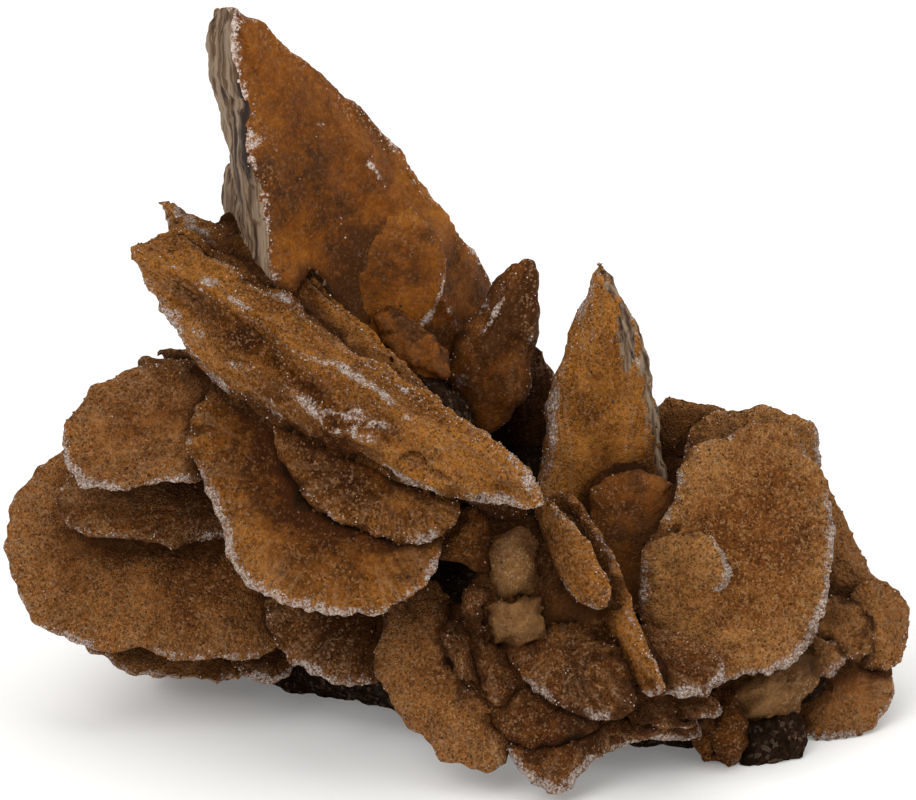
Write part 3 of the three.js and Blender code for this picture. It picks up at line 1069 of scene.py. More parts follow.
RELIEFS = {
    Habit.PETAL: Relief(),
    Habit.SPIRE: Relief(
        sway=0.5, lumps=0.2, grit=0.05, chips=1.2, step=0.45, step_width=6.5, flutes=0.0,
        along_blade=True, ridges=0.3, ridge_gap=7.0, facets=0.35, facet_size=8.0,
    ),
    Habit.SLAB: Relief(
        sway=0.7, lumps=0.4, grit=0.15, chips=1.2, step=0.4, step_width=5.0, flutes=0.0,
        along_blade=True, ridges=0.5, ridge_gap=4.0, facets=1.5,
    ),
    Habit.SHELL: Relief(chips=0.9, flutes=0.3, flute_width=1.7, step_width=2.6),
    Habit.KNOB: Relief(
        swell=0.2, chips=0.0, step=0.0, flutes=0.0, sway=0.9, lumps=1.3, grit=0.3, thinned=0.0,
        ridges=0.9, ridge_gap=2.6, facets=1.6, facet_size=2.6,
    ),
    Habit.CRUST: Relief(
        voxel=0.6, swell=0.2, sway=1.2, lumps=0.9, grit=0.25, chips=0.0, step=0.0, flutes=0.0,
        thinned=0.0,
    ),
}


@dataclass
class BladePlane:
    """A blade's own directions and rim, worked out from its CAD mesh."""

    along: np.ndarray
    across: np.ndarray
    face: np.ndarray
    heel: np.ndarray
    middle: np.ndarray
    rim_points: np.ndarray
    rim_outward: np.ndarray

    @classmethod
    def of(cls, node: str, mesh: bpy.types.Mesh, shelter: Shelter) -> "BladePlane":
        """Finds the plane, heel and free rim of one blade.

        Args:
            node: the CAD node's name.
            mesh: its merged mesh.
            shelter: knows the neighbouring crystals.

        Returns:
            The blade's plane.
        """
        points = corners(mesh)
        areas = np.array([f.area for f in mesh.polygons])
        normals = np.array([f.normal for f in mesh.polygons])
        centres = np.array([f.center for f in mesh.polygons])
        tensor = (normals * areas[:, None]).T @ normals
        face = np.linalg.eigh(tensor)[1][:, 2]
        face *= 1.0 if face[1] < 0 else -1.0
        middle = (centres * areas[:, None]).sum(0) / areas.sum()
        flat = points - middle
        flat -= np.outer(flat @ face, face)
        along = np.linalg.eigh(flat.T @ flat)[1][:, 2]
        outward = middle - CORE
        along *= 1.0 if along @ outward >= 0 else -1.0
        across = np.cross(face, along)
        heel = points[np.argmin(((points - CORE) ** 2).sum(1))]
        rim_points, rim_outward = cls._free_rim(node, mesh, face, middle, shelter)
        return cls(along, across, face, heel, middle, rim_points, rim_outward)

    def hub(self) -> np.ndarray:
        """Gives the point that the ribs fan out from, a third of the way to the heel."""
        return self.middle + (self.heel - self.middle) / 3

    def fan(self, points: np.ndarray) -> np.ndarray:
        """Measures each point's place round the fan of ribs.

        Args:
            points: positions in metres.

        Returns:
            The distance round the fan, in millimetres, at the blade's middling width.
        """
        spoke = points - self.hub()
        angle = np.arctan2(spoke @ self.across, spoke @ self.along)
        return angle * np.linalg.norm(spoke, axis=1).mean() / MM

    @staticmethod
    def _free_rim(
        node: str,
        mesh: bpy.types.Mesh,
        face: np.ndarray,
        middle: np.ndarray,
        shelter: Shelter,
    ) -> tuple[np.ndarray, np.ndarray]:
        """Samples the blade's thin side walls where no other crystal touches them.

        Args:
            node: the CAD node's name.
            mesh: its merged mesh.
            face: the blade's face direction.
            middle: the blade's middle.
            shelter: knows the neighbouring crystals.

        Returns:
            Points on the free rim and the way each faces.
        """
        places: list[np.ndarray] = []
        ways: list[np.ndarray] = []
        for polygon in mesh.polygons:
            normal = np.array(polygon.normal)
            if abs(normal @ face) > 0.55 or normal @ (np.array(polygon.center) - middle) <= 0:
                continue
            ring = [np.array(mesh.vertices[i].co) for i in polygon.vertices]
            for i, start in enumerate(ring):
                end = ring[(i + 1) % len(ring)]
                for share in np.linspace(0, 1, max(2, int(np.linalg.norm(end - start) / MM) + 1)):
                    place = start + (end - start) * share
                    near = shelter.tree.find_nearest_range(Vector(place), 0.6 * MM)
                    if node in shelter.fused or all(shelter.owners[h[2]] == node for h in near):
                        places.append(place)
                        ways.append(normal)
        return np.array(places).reshape(-1, 3), np.array(ways).reshape(-1, 3)

    def rim_distance(self, points: np.ndarray) -> tuple[np.ndarray, np.ndarray]:
        """Measures how far each point lies from the free rim.

        Args:
            points: positions in metres.

        Returns:
            The distances in millimetres, and the rim's outward direction nearest each.
        """
        if not len(self.rim_points):
            return np.full(len(points), NO_RIM), np.zeros((len(points), 3))
        tree = nearest_tree(self.rim_points)
        found = [tree.find(point) for point in points]
        distance = np.array([hit[2] for hit in found]) / MM
        return np.minimum(distance, NO_RIM), self.rim_outward[[hit[1] for hit in found]]


@dataclass
class Crystal:
    """One weathered crystal, standing for the CAD node of the same name.

    Tone lightens or darkens it, crusted adds sand and bruised whitens its rim. Cleaved is
    the direction that a split, fibrous side of it faces. Sunk is a direction and a depth
    in millimetres: the side of it that lies that way sinks into the crystal behind it.
    Finish names a finish other than its slot's own. Pointed slopes its upper left away.
    """

    node: str
    habit: Habit
    tone: float = 0.0
    crusted: float = 0.0
    bruised: float = 0.6
    cleaved: Optional[tuple[float, float, float]] = None
    sunk: Optional[tuple[float, float, float, float]] = None
    relief: Optional[Relief] = None
    finish: Optional[str] = None
    pointed: float = 0.0

    def seed(self) -> int:
        """Gives a number of its own to each crystal."""
        return sum((i + 3) * ord(letter) for i, letter in enumerate(self.node)) % 997

    def grow(self, shelter: Shelter) -> bpy.types.Mesh:
        """Builds the weathered mesh with the fields that the finishes read.

        Args:
            shelter: knows the neighbouring crystals.

        Returns:
            The mesh, in its place.
        """
        relief = self.relief or RELIEFS[self.habit]
        rough = merged_copy(self.node)
        plane = BladePlane.of(self.node, rough, shelter)
        mesh = even_skin(rough, self.node + "_crystal", relief.voxel)
        points = corners(mesh)
        normals = point_normals(mesh)
        rim, outward = plane.rim_distance(points)
        sheltered = shelter.over(points, normals) * (1.0 if self.sunk is None else SUNK_SHADE)
        moved, crest, tone_and_painted_light = self._weather(points, normals, rim, outward, plane, relief)
        move_points(mesh, self._settled(points, moved, plane))
        bruised = self._bruises(points, outward, sheltered)
        across = (points @ plane.across) / MM
        fields = {
            "rim_mm": rim if relief.chips else np.full(len(rim), RIMLESS),
            "fan_mm": across if relief.along_blade else plane.fan(points) * 1.3,
            "sheltered": sheltered,
            "crest": crest,
            # the facets' own tones and the ridge lines' painted highlight and shade are added to
            # the tone
            "tone": self._tones(points) + tone_and_painted_light,
            "crusted": np.full(len(points), self.crusted),
            "bruised": bruised,
        }
        for key, values in fields.items():
            write_field(mesh, key, values)
        self._grain_fields(mesh, points, normals, rim, sheltered, bruised, crest)
        return mesh

    def _settled(self, points: np.ndarray, moved: np.ndarray, plane: BladePlane) -> np.ndarray:
        """Sinks a sunk crystal, slopes a pointed one, and keeps all of it above the floor.

        Args:
            points: positions on the even skin, in metres.
            moved: the same points once weathered.
            plane: the blade's own directions.

        Returns:
            The settled points.
        """
        settled = moved.copy()
        if self.sunk is not None:
            way = np.array(self.sunk[:3]) / np.linalg.norm(self.sunk[:3])
            reach = points @ way
            share = (reach - reach.min()) / (np.ptp(reach) + 1e-9)
            settled -= np.outer(np.clip(1.5 * share - 0.2, 0, 1) * self.sunk[3] * MM, plane.face)
        if self.pointed:
            height = (points[:, 2] - points[:, 2].min()) / np.ptp(points[:, 2])
            slope = self.pointed * np.clip(1.7 * height - 0.7, 0, 1)
            settled[:, 0] += slope * (points[:, 0].max() - points[:, 0])
        settled[:, 2] = np.maximum(settled[:, 2], 0.0)
        return settled

    def _bruises(
        self, points: np.ndarray, outward: np.ndarray, sheltered: np.ndarray
    ) -> np.ndarray:
        """Says how white the rim is: most on its open, lower and outer stretches.

        Args:
            points: positions in metres.
            outward: the rim's direction nearest each point.
            sheltered: how enclosed each point is.

        Returns:
            How bruised each point is, from nought to about one.
        """
        patchy = value_noise(points / MM, 9.0, self.seed() + 15)
        open_air = np.clip(1.3 - 2.6 * sheltered, 0, 1)
        bruised = self.bruised * (0.75 - 0.45 * outward[:, 2] + 0.55 * patchy)
        return np.clip(bruised, 0, 1) * open_air

    def _weather(
        self,
        points: np.ndarray,
        normals: np.ndarray,
        rim: np.ndarray,
        outward: np.ndarray,
        plane: BladePlane,
        relief: Relief,
    ) -> tuple[np.ndarray, np.ndarray, np.ndarray]:
        """Moves the points into chips, steps, flutes and grit.

        Args:
            points: positions in metres.
            normals: outward directions.
            rim: distance from the rim in millimetres.
            outward: the rim's direction nearest each point.
            plane: the blade's own directions.
            relief: the amounts.

        Returns:
            The moved points, the step edges from nought to one, and the facets' tones with the
            ridge lines' painted highlight and shade.
        """
        seed = self.seed()
        at = points / MM
        flatness = np.abs(normals @ plane.face)
        here = np.clip(0.5 + 1.2 * value_noise(at, 8.0, seed + 4), 0, 1)
        lift = np.full(len(points), relief.swell)
        lift += relief.sway * layered_noise(at, 9.0, seed, 2)
        lift += relief.lumps * layered_noise(at, 3.2, seed + 1, 3)
        lift += relief.grit * value_noise(at, 0.9, seed + 2)
        height, crest = self._steps(points, rim, plane, relief)
        lift += relief.step * height * here * flatness
        crest = crest * here * flatness * (0.7 if relief.step else 0.0)
        if relief.ridges:
            fold = self._folds(points, plane, relief)
            lift += relief.ridges * (fold - 0.35) * flatness
            worn = np.clip((fold - 0.5) * 2.4, 0, 1.1) * flatness
            crest = np.maximum(crest, worn * (1.0 if relief.step else 0.35))
        comb = np.zeros(len(points))
        if relief.flutes:
            turns = plane.fan(points) / relief.flute_width
            ribs = np.sin(2 * math.pi * turns + 2.5 * value_noise(at, 5.0, seed + 5))
            lift += relief.flutes * ribs * np.exp(-((rim / RIB_REACH) ** 2)) * flatness
            comb = ribs * np.clip(0.5 + value_noise(at, 6.0, seed + 23), 0, 1)
        lift -= relief.thinned * np.exp(-((rim / THIN_REACH) ** 2)) * flatness
        raised, flank, tone_and_painted_light = self._ridge_lines(points, normals, plane, relief)
        lift += raised
        crest = np.maximum(crest, flank)
        if relief.facets:
            tilt, edge, own = self._facets(at, plane, relief)
            tone_and_painted_light += own
            lift += relief.facets * tilt * flatness
            crest = np.maximum(crest, edge * here * flatness * (0.9 if relief.step else 0.0))
        moved = points + normals * (lift * MM)[:, None] + bent(points)
        bite = 0.1 + 0.8 * layered_noise(at, 4.6, seed + 6, 4)
        bite = relief.chips * bite * np.exp(-((rim / CHIP_REACH) ** 2))
        bite += 1.2 * relief.flutes * comb * np.exp(-((rim / COMB_REACH) ** 2))
        return moved - outward * (bite * MM)[:, None], crest * (0.4 + 0.6 * here), tone_and_painted_light

    def _steps(
        self, points: np.ndarray, rim: np.ndarray, plane: BladePlane, relief: Relief
    ) -> tuple[np.ndarray, np.ndarray]:
        """Grows steps that follow the rim, or that run along a long blade.

        Args:
            points: positions in metres.
            rim: distance from the rim in millimetres.
            plane: the blade's own directions.
            relief: gives the steps' width.

        Returns:
            Each point's height in its step, about nought, and the steps' edges.
        """
        course = (points @ plane.across) / MM if relief.along_blade else rim
        phase = course / relief.step_width
        phase += 0.9 * layered_noise(points / MM, 10.0, self.seed() + 3, 3)
        part = phase - np.floor(phase)
        height = np.where(part < STEP_PEAK, part / STEP_PEAK, (1 - part) / (1 - STEP_PEAK))
        return height - 0.5, np.exp(-(((part - STEP_PEAK) / 0.09) ** 2))

    def _folds(self, points: np.ndarray, plane: BladePlane, relief: Relief) -> np.ndarray:
        """Folds the surface into sharp ridges that wander along the blade.

        Args:
            points: positions in metres.
            plane: the blade's own directions.
            relief: gives the ridges' spacing.

        Returns:
            How near its ridge each point is, from nought to one.
        """
        seed = self.seed()
        course = np.column_stack([
            points @ plane.along / MM / 3.5, points @ plane.across / MM,
            np.full(len(points), 0.5 * seed),
        ])
        fold = 1 - 2.2 * np.abs(value_noise(course, relief.ridge_gap, seed + 12))
        return np.clip(fold + 0.35 * value_noise(points / MM, 2.2, seed + 13), 0, 1) ** 1.6

    def _ridge_lines(
        self, points: np.ndarray, normals: np.ndarray, plane: BladePlane, relief: Relief
    ) -> tuple[np.ndarray, np.ndarray, np.ndarray]:
        """Raises the long ridges that cross a slab's face, with broken white flanks.

        Args:
            points: positions in metres.
            normals: outward directions.
            plane: the blade's own directions.
            relief: lists the ridge lines.

        Returns:
            How far each point is raised, the white flanks, and a painted highlight along each ridge
            with painted shade in the valleys.
        """
        seed = self.seed()
        at = points / MM
        lift, crest, tone_and_painted_light = (np.zeros(len(points)) for _ in range(3))
        front = np.clip(2 * normals @ plane.face, 0, 1)
        for offset, slope, tall, wide in relief.ridge_lines:
            line = offset + slope * ((points - plane.middle) @ plane.along) / MM
            line += 1.3 * value_noise(at, 7.0, seed + 21) + 0.5 * value_noise(at, 2.0, seed + 22)
            above = (points - plane.middle) @ plane.across / MM - line
            above *= np.sign(plane.across[2])
            aside = np.abs(above)
            lift += tall * (np.exp(-aside / wide) - 0.3) * front
            # painted highlight along the ridge and painted shade in the valleys beside it
            tone_and_painted_light += 1.3 * (np.exp(-aside / 1.8) - 0.35) * front
            flank = np.where(above > 0, np.exp(-above / 1.9), np.exp(-((above / 0.5) ** 2)))
            broken = np.clip(0.65 + 1.2 * layered_noise(at, 5.0, seed + 24, 3), 0, 1)
            crest = np.maximum(crest, 1.6 * flank * front * broken)
        return lift, crest, tone_and_painted_light

    def _facets(
        self, at: np.ndarray, plane: BladePlane, relief: Relief
    ) -> tuple[np.ndarray, np.ndarray, np.ndarray]:
        """Breaks the surface into tilted cleavage facets, longer than they are wide.

        Args:
            at: positions in millimetres.
            plane: the blade's own directions.
            relief: gives the facets' size.

        Returns:
            How far each point stands out, the facets' edges and each facet's own tone.
        """
        seed = self.seed()
        spots = np.column_stack([at @ plane.along / 2.4, at @ plane.across, at @ plane.face / 2])
        spots += 0.9 * np.column_stack([value_noise(at, 3.5, seed + 30 + i) for i in range(3)])
        maker = np.random.default_rng(seed)
        low, high = spots.min(0), spots.max(0)
        count = int(np.prod((high - low)[:2]) / relief.facet_size**2) + 4
        hearts = low + maker.random((count, 3)) * (high - low)
        tilts = maker.normal(0.0, 1.0, (count, 3))
        tones = maker.uniform(-0.35, 0.35, count)
        tree = nearest_tree(hearts)
        hits = [tree.find_n(spot, 2) for spot in spots]
        owner = np.array([hit[0][1] for hit in hits])
        gap = np.array([hit[1][2] - hit[0][2] for hit in hits])
        slope = ((spots - hearts[owner]) * tilts[owner]).sum(1) / relief.facet_size
        return 0.4 * np.clip(slope, -1, 1) + 0.2, np.exp(-((gap / 0.45) ** 2)), tones[owner]

    def _tones(self, points: np.ndarray) -> np.ndarray:
        """Gives the crystal its own tone, slightly uneven across it."""
        return self.tone + 0.35 * value_noise(points / MM, 16.0, self.seed() + 9)

    def _grain_fields(
        self,
        mesh: bpy.types.Mesh,
        points: np.ndarray,
        normals: np.ndarray,
        rim: np.ndarray,
        sheltered: np.ndarray,
        bruised: np.ndarray,
        crest: np.ndarray,
    ) -> None:
        """Says where sand lies and where sugary crumbs cling.

        Args:
            mesh: the crystal's mesh.
            points: positions in metres.
            normals: outward directions.
            rim: distance from the rim in millimetres.
            sheltered: how enclosed each point is.
            bruised: how white the rim is.
            crest: the edges of the steps and facets.
        """
        at = points / MM
        drift = np.clip(0.25 + value_noise(at, 6.0, self.seed() + 11), 0, 1)
        upward = np.clip(0.4 + 0.6 * normals[:, 2], 0, 1)
        base = {Habit.SPIRE: 0.12, Habit.SLAB: 0.25, Habit.KNOB: 0.2}.get(self.habit, 0.6)
        sand = (base + self.crusted) * drift * upward + 0.9 * sheltered * drift
        write_field(mesh, "sand_here", np.clip(sand, 0, 1.4))
        crumbs = np.exp(-((rim / 0.9) ** 2)) * (0.15 + 1.1 * bruised)
        crumbs += 0.8 * np.clip(crest - 0.35, 0, 1) * np.clip(0.5 + value_noise(at, 5.0, 19), 0, 1)
        if self.cleaved is not None:
            crumbs *= normals @ self._split_way() < 0.5
        crumbs = crumbs if RELIEFS[self.habit].chips else np.zeros(len(points))
        write_field(mesh, "sugar_here", crumbs)

    def _split_way(self) -> np.ndarray:
        """Gives the direction that the split side faces, one long."""
        way = np.array(self.cleaved)
        return way / np.linalg.norm(way)

    def dress(
        self, mesh: bpy.types.Mesh, finishes: dict[str, bpy.types.Material], slot: str
    ) -> None:
        """Gives the mesh its finish, and a fibrous one where it is split.

        Args:
            mesh: the crystal's mesh.
            finishes: the materials by slot.
            slot: the record's material slot of this node.
        """
        mesh.materials.clear()
        mesh.materials.append(finishes[self.finish or slot])
        if self.cleaved is None:
            return
        mesh.materials.append(finishes["fibrous"])
        normals = np.zeros(3 * len(mesh.polygons), np.float32)
        mesh.polygons.foreach_get("normal", normals)
        split = normals.reshape(-1, 3) @ self._split_way() > 0.62
        mesh.polygons.foreach_set("material_index", split.astype(np.int32))


# ------------------------------------------------------------------ loose grains
@dataclass
class GrainScatter:
    """Strews faceted grains over a mesh, as thick as a named field says."""

    name: str
    field_name: str
    finish: bpy.types.Material
    smallest: float = 0.1
    largest: float = 0.26
    seed: int = 3

    def tree(self) -> bpy.types.NodeTree:
        """Builds the scattering tree with its named inputs.

        Returns:
            The Geometry Nodes tree.
        """
        tree = bpy.data.node_groups.new(self.name, "GeometryNodeTree")
        face = tree.interface
        face.new_socket("Geometry", in_out="INPUT", socket_type="NodeSocketGeometry")
        for label, kind in (
            ("Where", "NodeSocketString"), ("Grains per Square Metre", "NodeSocketFloat"),
            ("Smallest", "NodeSocketFloat"), ("Largest", "NodeSocketFloat"),
            ("Seed", "NodeSocketInt"), ("Finish", "NodeSocketMaterial"),
        ):
            face.new_socket(label, in_out="INPUT", socket_type=kind)
        face.new_socket("Geometry", in_out="OUTPUT", socket_type="NodeSocketGeometry")
        given = add_node(tree, "NodeGroupInput").outputs
        where = add_node(
            tree, "GeometryNodeInputNamedAttribute", {"data_type": "FLOAT"},
            links={"Name": given["Where"]},
        )
        density = add_node(
            tree, "ShaderNodeMath", {"operation": "MULTIPLY"},
            links={0: where.outputs[0], 1: given["Grains per Square Metre"]},
        )
        spots = add_node(
            tree, "GeometryNodeDistributePointsOnFaces",
            links={"Mesh": given["Geometry"], "Density": density.outputs[0],
                   "Seed": given["Seed"]},
        )
        grain = add_node(
            tree, "GeometryNodeMeshIcoSphere", values={"Radius": 1.0, "Subdivisions": 1}
        )
        low = add_node(tree, "ShaderNodeCombineXYZ", links={i: given["Smallest"] for i in range(3)})
        high = add_node(tree, "ShaderNodeCombineXYZ", links={i: given["Largest"] for i in range(3)})
        size = add_node(
            tree, "FunctionNodeRandomValue", {"data_type": "FLOAT_VECTOR"},
            links={0: low.outputs[0], 1: high.outputs[0], "Seed": given["Seed"]},
        )
        turn = add_node(
            tree, "FunctionNodeRandomValue", {"data_type": "FLOAT_VECTOR"},
            {1: (GRAIN_TURN,) * 3}, {"Seed": given["Seed"]},
        )
        strewn = add_node(
            tree, "GeometryNodeInstanceOnPoints",
            links={"Points": spots.outputs["Points"], "Instance": grain.outputs["Mesh"],
                   "Rotation": turn.outputs[0], "Scale": size.outputs[0]},
        )
        real = add_node(
            tree, "GeometryNodeRealizeInstances", links={0: strewn.outputs["Instances"]}
        )
        dressed = add_node(
            tree, "GeometryNodeSetMaterial",
            links={"Geometry": real.outputs[0], "Material": given["Finish"]},
        )
        add_node(tree, "NodeGroupOutput", links={0: dressed.outputs[0]})
        return tree

    def strew(
        self, ground: bpy.types.Mesh, tree: bpy.types.NodeTree, turn: int, per_mm2: float
    ) -> bpy.types.Mesh:
        """Strews the grains over one crystal.

        Args:
            ground: the crystal's mesh.
            tree: the scattering tree.
            turn: shifts the seed, so that no two crystals match.
            per_mm2: how many grains lie on a square millimetre where the field is one.

        Returns:
            The grains as one mesh.
        """
        piece = linked_object(self.name + "_strewn", ground.copy())
        modifier = piece.modifiers.new("grains", "NODES")
        modifier.node_group = tree
        inputs = {
            "Where": self.field_name, "Grains per Square Metre": per_mm2 / MM**2,
            "Smallest": self.smallest * MM, "Largest": self.largest * MM,
            "Seed": self.seed + turn, "Finish": self.finish,
        }
        for item in tree.interface.items_tree:
            if item.in_out == "INPUT" and item.name in inputs:
                modifier[item.identifier] = inputs[item.name]
        return evaluated_mesh(piece, self.name)


def joined(name: str, meshes: Sequence[bpy.types.Mesh]) -> bpy.types.Mesh:
    """Joins plain meshes into one, keeping each one's finish.

    Args:
        name: the new mesh's name.
        meshes: the meshes, of triangles, each with one material.

    Returns:
        The joined mesh.
    """
    finishes: list[bpy.types.Material] = []
    points, loops, indices = [], [], []
    count = 0
    for mesh in meshes:
        finish = next((slot for slot in mesh.materials if slot), None)
        if finish not in finishes:
            finishes.append(finish)
        points.append(corners(mesh))
        order = np.zeros(len(mesh.loops), np.int32)
        mesh.loops.foreach_get("vertex_index", order)
        loops.append(order + count)
        indices.append(np.full(len(mesh.polygons), finishes.index(finish), np.int32))
        count += len(mesh.vertices)
    ring = np.concatenate(loops)
    made = bpy.data.meshes.new(name)
    made.vertices.add(count)
    move_points(made, np.concatenate(points))
    made.loops.add(len(ring))
    made.loops.foreach_set("vertex_index", ring)
    made.polygons.add(len(ring) // 3)
    made.polygons.foreach_set("loop_start", np.arange(0, len(ring), 3, dtype=np.int32))
    for finish in finishes:
        made.materials.append(finish)
    made.polygons.foreach_set("material_index", np.concatenate(indices))
    made.update(calc_edges=True)
    made.validate()
    return made


# ------------------------------------------------------------------ sub-assemblies
@dataclass
class Cluster:
    """A group of crystals that grew together, with the grains that cling to them."""

    name: str = "cluster"
    crystals: list[Crystal] = field(default_factory=list)
    sand_per_mm2: float = 0.6
    sugar_per_mm2: float = 1.6

    def build(self, workshop: "Workshop") -> None:
        """Grows, dresses and places every crystal, then its grains.

        Args:
            workshop: holds the finishes, the shelter and the scatterers.
        """
        loose: list[bpy.types.Mesh] = []
        for crystal in self.crystals:
            mesh = crystal.grow(workshop.shelter)
            slot = workshop.slots[crystal.node]
            crystal.dress(mesh, workshop.finishes, slot)
            loose += workshop.grains_on(mesh, self.sand_per_mm2, self.sugar_per_mm2)
            for key in ("sand_here", "sugar_here"):
                mesh.attributes.remove(mesh.attributes[key])
            piece = linked_object(crystal.node + "_crystal", mesh)
            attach(piece, "root")
            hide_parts(crystal.node)
            LOG.info("%s: %s, %d faces", self.name, piece.name, len(mesh.polygons))
        grains = linked_object(self.name + "_grains", joined(self.name + "_grains", loose))
        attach(grains, "root")
        LOG.info("%s: %d faces of loose grains", self.name, len(grains.data.polygons))


def alike(
    names: str, habit: Habit, tone: float = 0.0, crusted: float = 0.0, bruised: float = 0.6
) -> list[Crystal]:
    """Lists crystals that share a habit and a tone.

    Args:
        names: their CAD nodes, with spaces between.
        habit: how they grew.
        tone: how much lighter or darker they are.
        crusted: how much more sand they carry.
        bruised: how white their rims are.

    Returns:
        The crystals.
    """
    return [Crystal(name, habit, tone, crusted, bruised) for name in names.split()]


@dataclass
class Spires(Cluster):
    """The tall blade with its raised layer, the spike and the blades behind them."""

    name: str = "spires"
    sand_per_mm2: float = 0.45

    def __post_init__(self) -> None:
        """Lists the upright crystals."""
        self.crystals = [
            Crystal(
                "tall_blade", Habit.SPIRE, 0.1, bruised=0.85, cleaved=(-0.82, -0.57, 0.0),
                finish="honey",
            ),
            Crystal(
                "tall_blade_layer", Habit.SPIRE, 0.2, bruised=0.9, sunk=(-0.9, -0.3, 0.35, 3.0),
                finish="honey",
                relief=replace(RELIEFS[Habit.SPIRE], facets=0.0, ridges=0.0, step=0.1),
            ),
            Crystal(
                "tall_blade_splinter", Habit.SPIRE, 0.2, cleaved=(-0.5, -0.8, 0.1), finish="honey"
            ),
            Crystal("spike_blade", Habit.SPIRE, 1.4, 0.4, 0.75, cleaved=(0.9, -0.1, 0.3)),
            Crystal(
                "crest_blade", Habit.SPIRE, -0.3, 0.3, 0.35, finish="honey", pointed=0.62,
                relief=replace(
                    RELIEFS[Habit.SPIRE], swell=0.5, chips=1.4, lumps=0.3, ridges=0.6, facets=0.7,
                    facet_size=6.0,
                ),
            ),
            # its tone of -1.2 is painted shade: it stands at the back of the hollow beside the
            # crest blade
            Crystal("shadow_blade", Habit.SPIRE, -1.2, 0.6, 0.2),
            Crystal(
                "inner_ridge", Habit.KNOB, -0.1, 0.0, 0.0, sunk=(-0.3, 0.0, 1.0, 3.6),
                relief=replace(RELIEFS[Habit.KNOB], swell=-0.6), finish="honey",
            ),
        ]


@dataclass
class Slabs(Cluster):
    """The long slab that crosses the front, with its broken white ridges."""

    name: str = "slabs"
    sand_per_mm2: float = 0.6
    sugar_per_mm2: float = 2.6

    def __post_init__(self) -> None:
        """Lists the slab's crystals."""
        self.crystals = [
            Crystal(
                "slab_front", Habit.SLAB, 1.2, 0.6, 0.9,
                relief=replace(
                    RELIEFS[Habit.SLAB], facets=2.0,
                    ridge_lines=((-2.6, 0.04, 3.2, 2.4), (3.4, 0.06, 2.6, 2.2)),
                ),
            ),
            Crystal(
                "slab_back", Habit.SLAB, 1.1, 0.6, 0.4,
                relief=replace(RELIEFS[Habit.SLAB], ridge_lines=((-1.5, 0.02, 1.4, 2.0),)),
            ),
            Crystal("slab_keel", Habit.SLAB, 0.0, 0.2, 0.6),
        ]


@dataclass
class LeftPetals(Cluster):
    """The fan of petals on the left, stacked like scales."""

    name: str = "left_petals"

    def __post_init__(self) -> None:
        """Lists the left petals."""
        self.crystals = [
            *alike("middle_petal", Habit.PETAL, 0.4, 0.6, 0.8),
            Crystal(
                "front_left_petal", Habit.PETAL, 0.6, 0.2, 0.9,
                relief=replace(RELIEFS[Habit.PETAL], flutes=0.3, flute_width=2.2),
            ),
            *alike("upper_left_petal", Habit.PETAL, 0.6, 0.0, 0.8),
            *alike("far_left_petal lower_left_petal", Habit.PETAL, 0.9, 0.2, 0.5),
            *alike("small_left_petal", Habit.PETAL, 0.3, 0.9, 0.5),
            *alike("left_shard_low left_shard_high", Habit.PETAL, 0.0, 0.3, 0.2),
            *alike("under_petal under_petal_small", Habit.SHELL, -0.1, 0.2, 0.6),
        ]


@dataclass
class RightPetals(Cluster):
    """The bowl-shaped petals and shells on the right."""

    name: str = "right_petals"

    def __post_init__(self) -> None:
        """Lists the right petals."""
        self.crystals = [
            *alike("fin_right fin_left", Habit.PETAL, 0.75, 0.6, 0.8),
            Crystal("right_petal", Habit.PETAL, 0.6, 0.3, 1.0, finish="rusty"),
            Crystal(
                "inner_right_petal", Habit.PETAL, 0.6, 0.2, 0.9, sunk=(-0.3, 0.0, -1.0, 3.6),
                finish="rusty",
            ),
            Crystal("cup_petal", Habit.PETAL, 0.0, 0.1, 0.4, finish="honey"),
            *alike("far_right_slab", Habit.PETAL, 1.1, 0.1, 0.3),
            Crystal("right_top_blade", Habit.PETAL, 2.1, 0.1, 0.6, finish="rusty"),
            Crystal("right_back_blade", Habit.PETAL, 1.8, 0.1, 0.5, finish="rusty"),
            *alike(
                "right_shell_outer right_shell_inner right_shell_small", Habit.SHELL, 2.0, 0.1, 0.6
            ),
            *alike("right_shell_low", Habit.SHELL, 0.9, -0.3, 0.5),
        ]


@dataclass
class LowerFront(Cluster):
    """The small shells, ribs and knobs crowded under the front."""

    name: str = "lower_front"

    def __post_init__(self) -> None:
        """Lists the lower front crystals."""
        self.crystals = [
            *alike("rim_plate_upper rim_plate_lower", Habit.SHELL, 0.0, 0.1, 0.9),
            *alike("cream_knob_upper cream_knob_lower amber_plate", Habit.KNOB, 0.5, 0.0),
            *alike("amber_wedge amber_post", Habit.KNOB, 0.7, 0.9, 0.0),
            *alike("middle_shell upper_shell low_shell keel_blade", Habit.SHELL, 0.0, 0.1, 0.6),
            *alike("rib_left rib_upper rib_lower", Habit.SHELL, -0.1, 0.2, 0.2),
            *alike("sandy_blade", Habit.PETAL, 0.95, 0.5, 0.2),
            *alike("matrix_knob", Habit.CRUST, 0.0, 0.3),
        ]


@dataclass
class FarSide(Cluster):
    """The ring of petals that opens away from the front, and the blades above it."""

    name: str = "far_side"
    sand_per_mm2: float = 0.35

    def __post_init__(self) -> None:
        """Lists the far crystals."""
        ring = " ".join(f"back_ring_{i}" for i in range(1, 6))
        self.crystals = [
            *alike(ring, Habit.PETAL, -0.05, 0.2),
            *alike("back_left_petal back_middle_petal", Habit.PETAL, 0.1, 0.1),
            *alike("back_centre_petal back_right_petal", Habit.PETAL, 0.05, 0.1),
            *alike("back_tall_blade back_short_blade", Habit.SPIRE, 0.1, 0.0),
        ]


@dataclass
class MatrixMound(Cluster):
    """The sandy mound that every blade roots in: its own dark sand with painted shade for its place
    under the blades.
    """

    name: str = "matrix"
    sand_per_mm2: float = 0.3
    sugar_per_mm2: float = 0.0

    def __post_init__(self) -> None:
        """Lists the mound."""
        self.crystals = alike("sandy_matrix", Habit.CRUST, 0.0, 0.3)


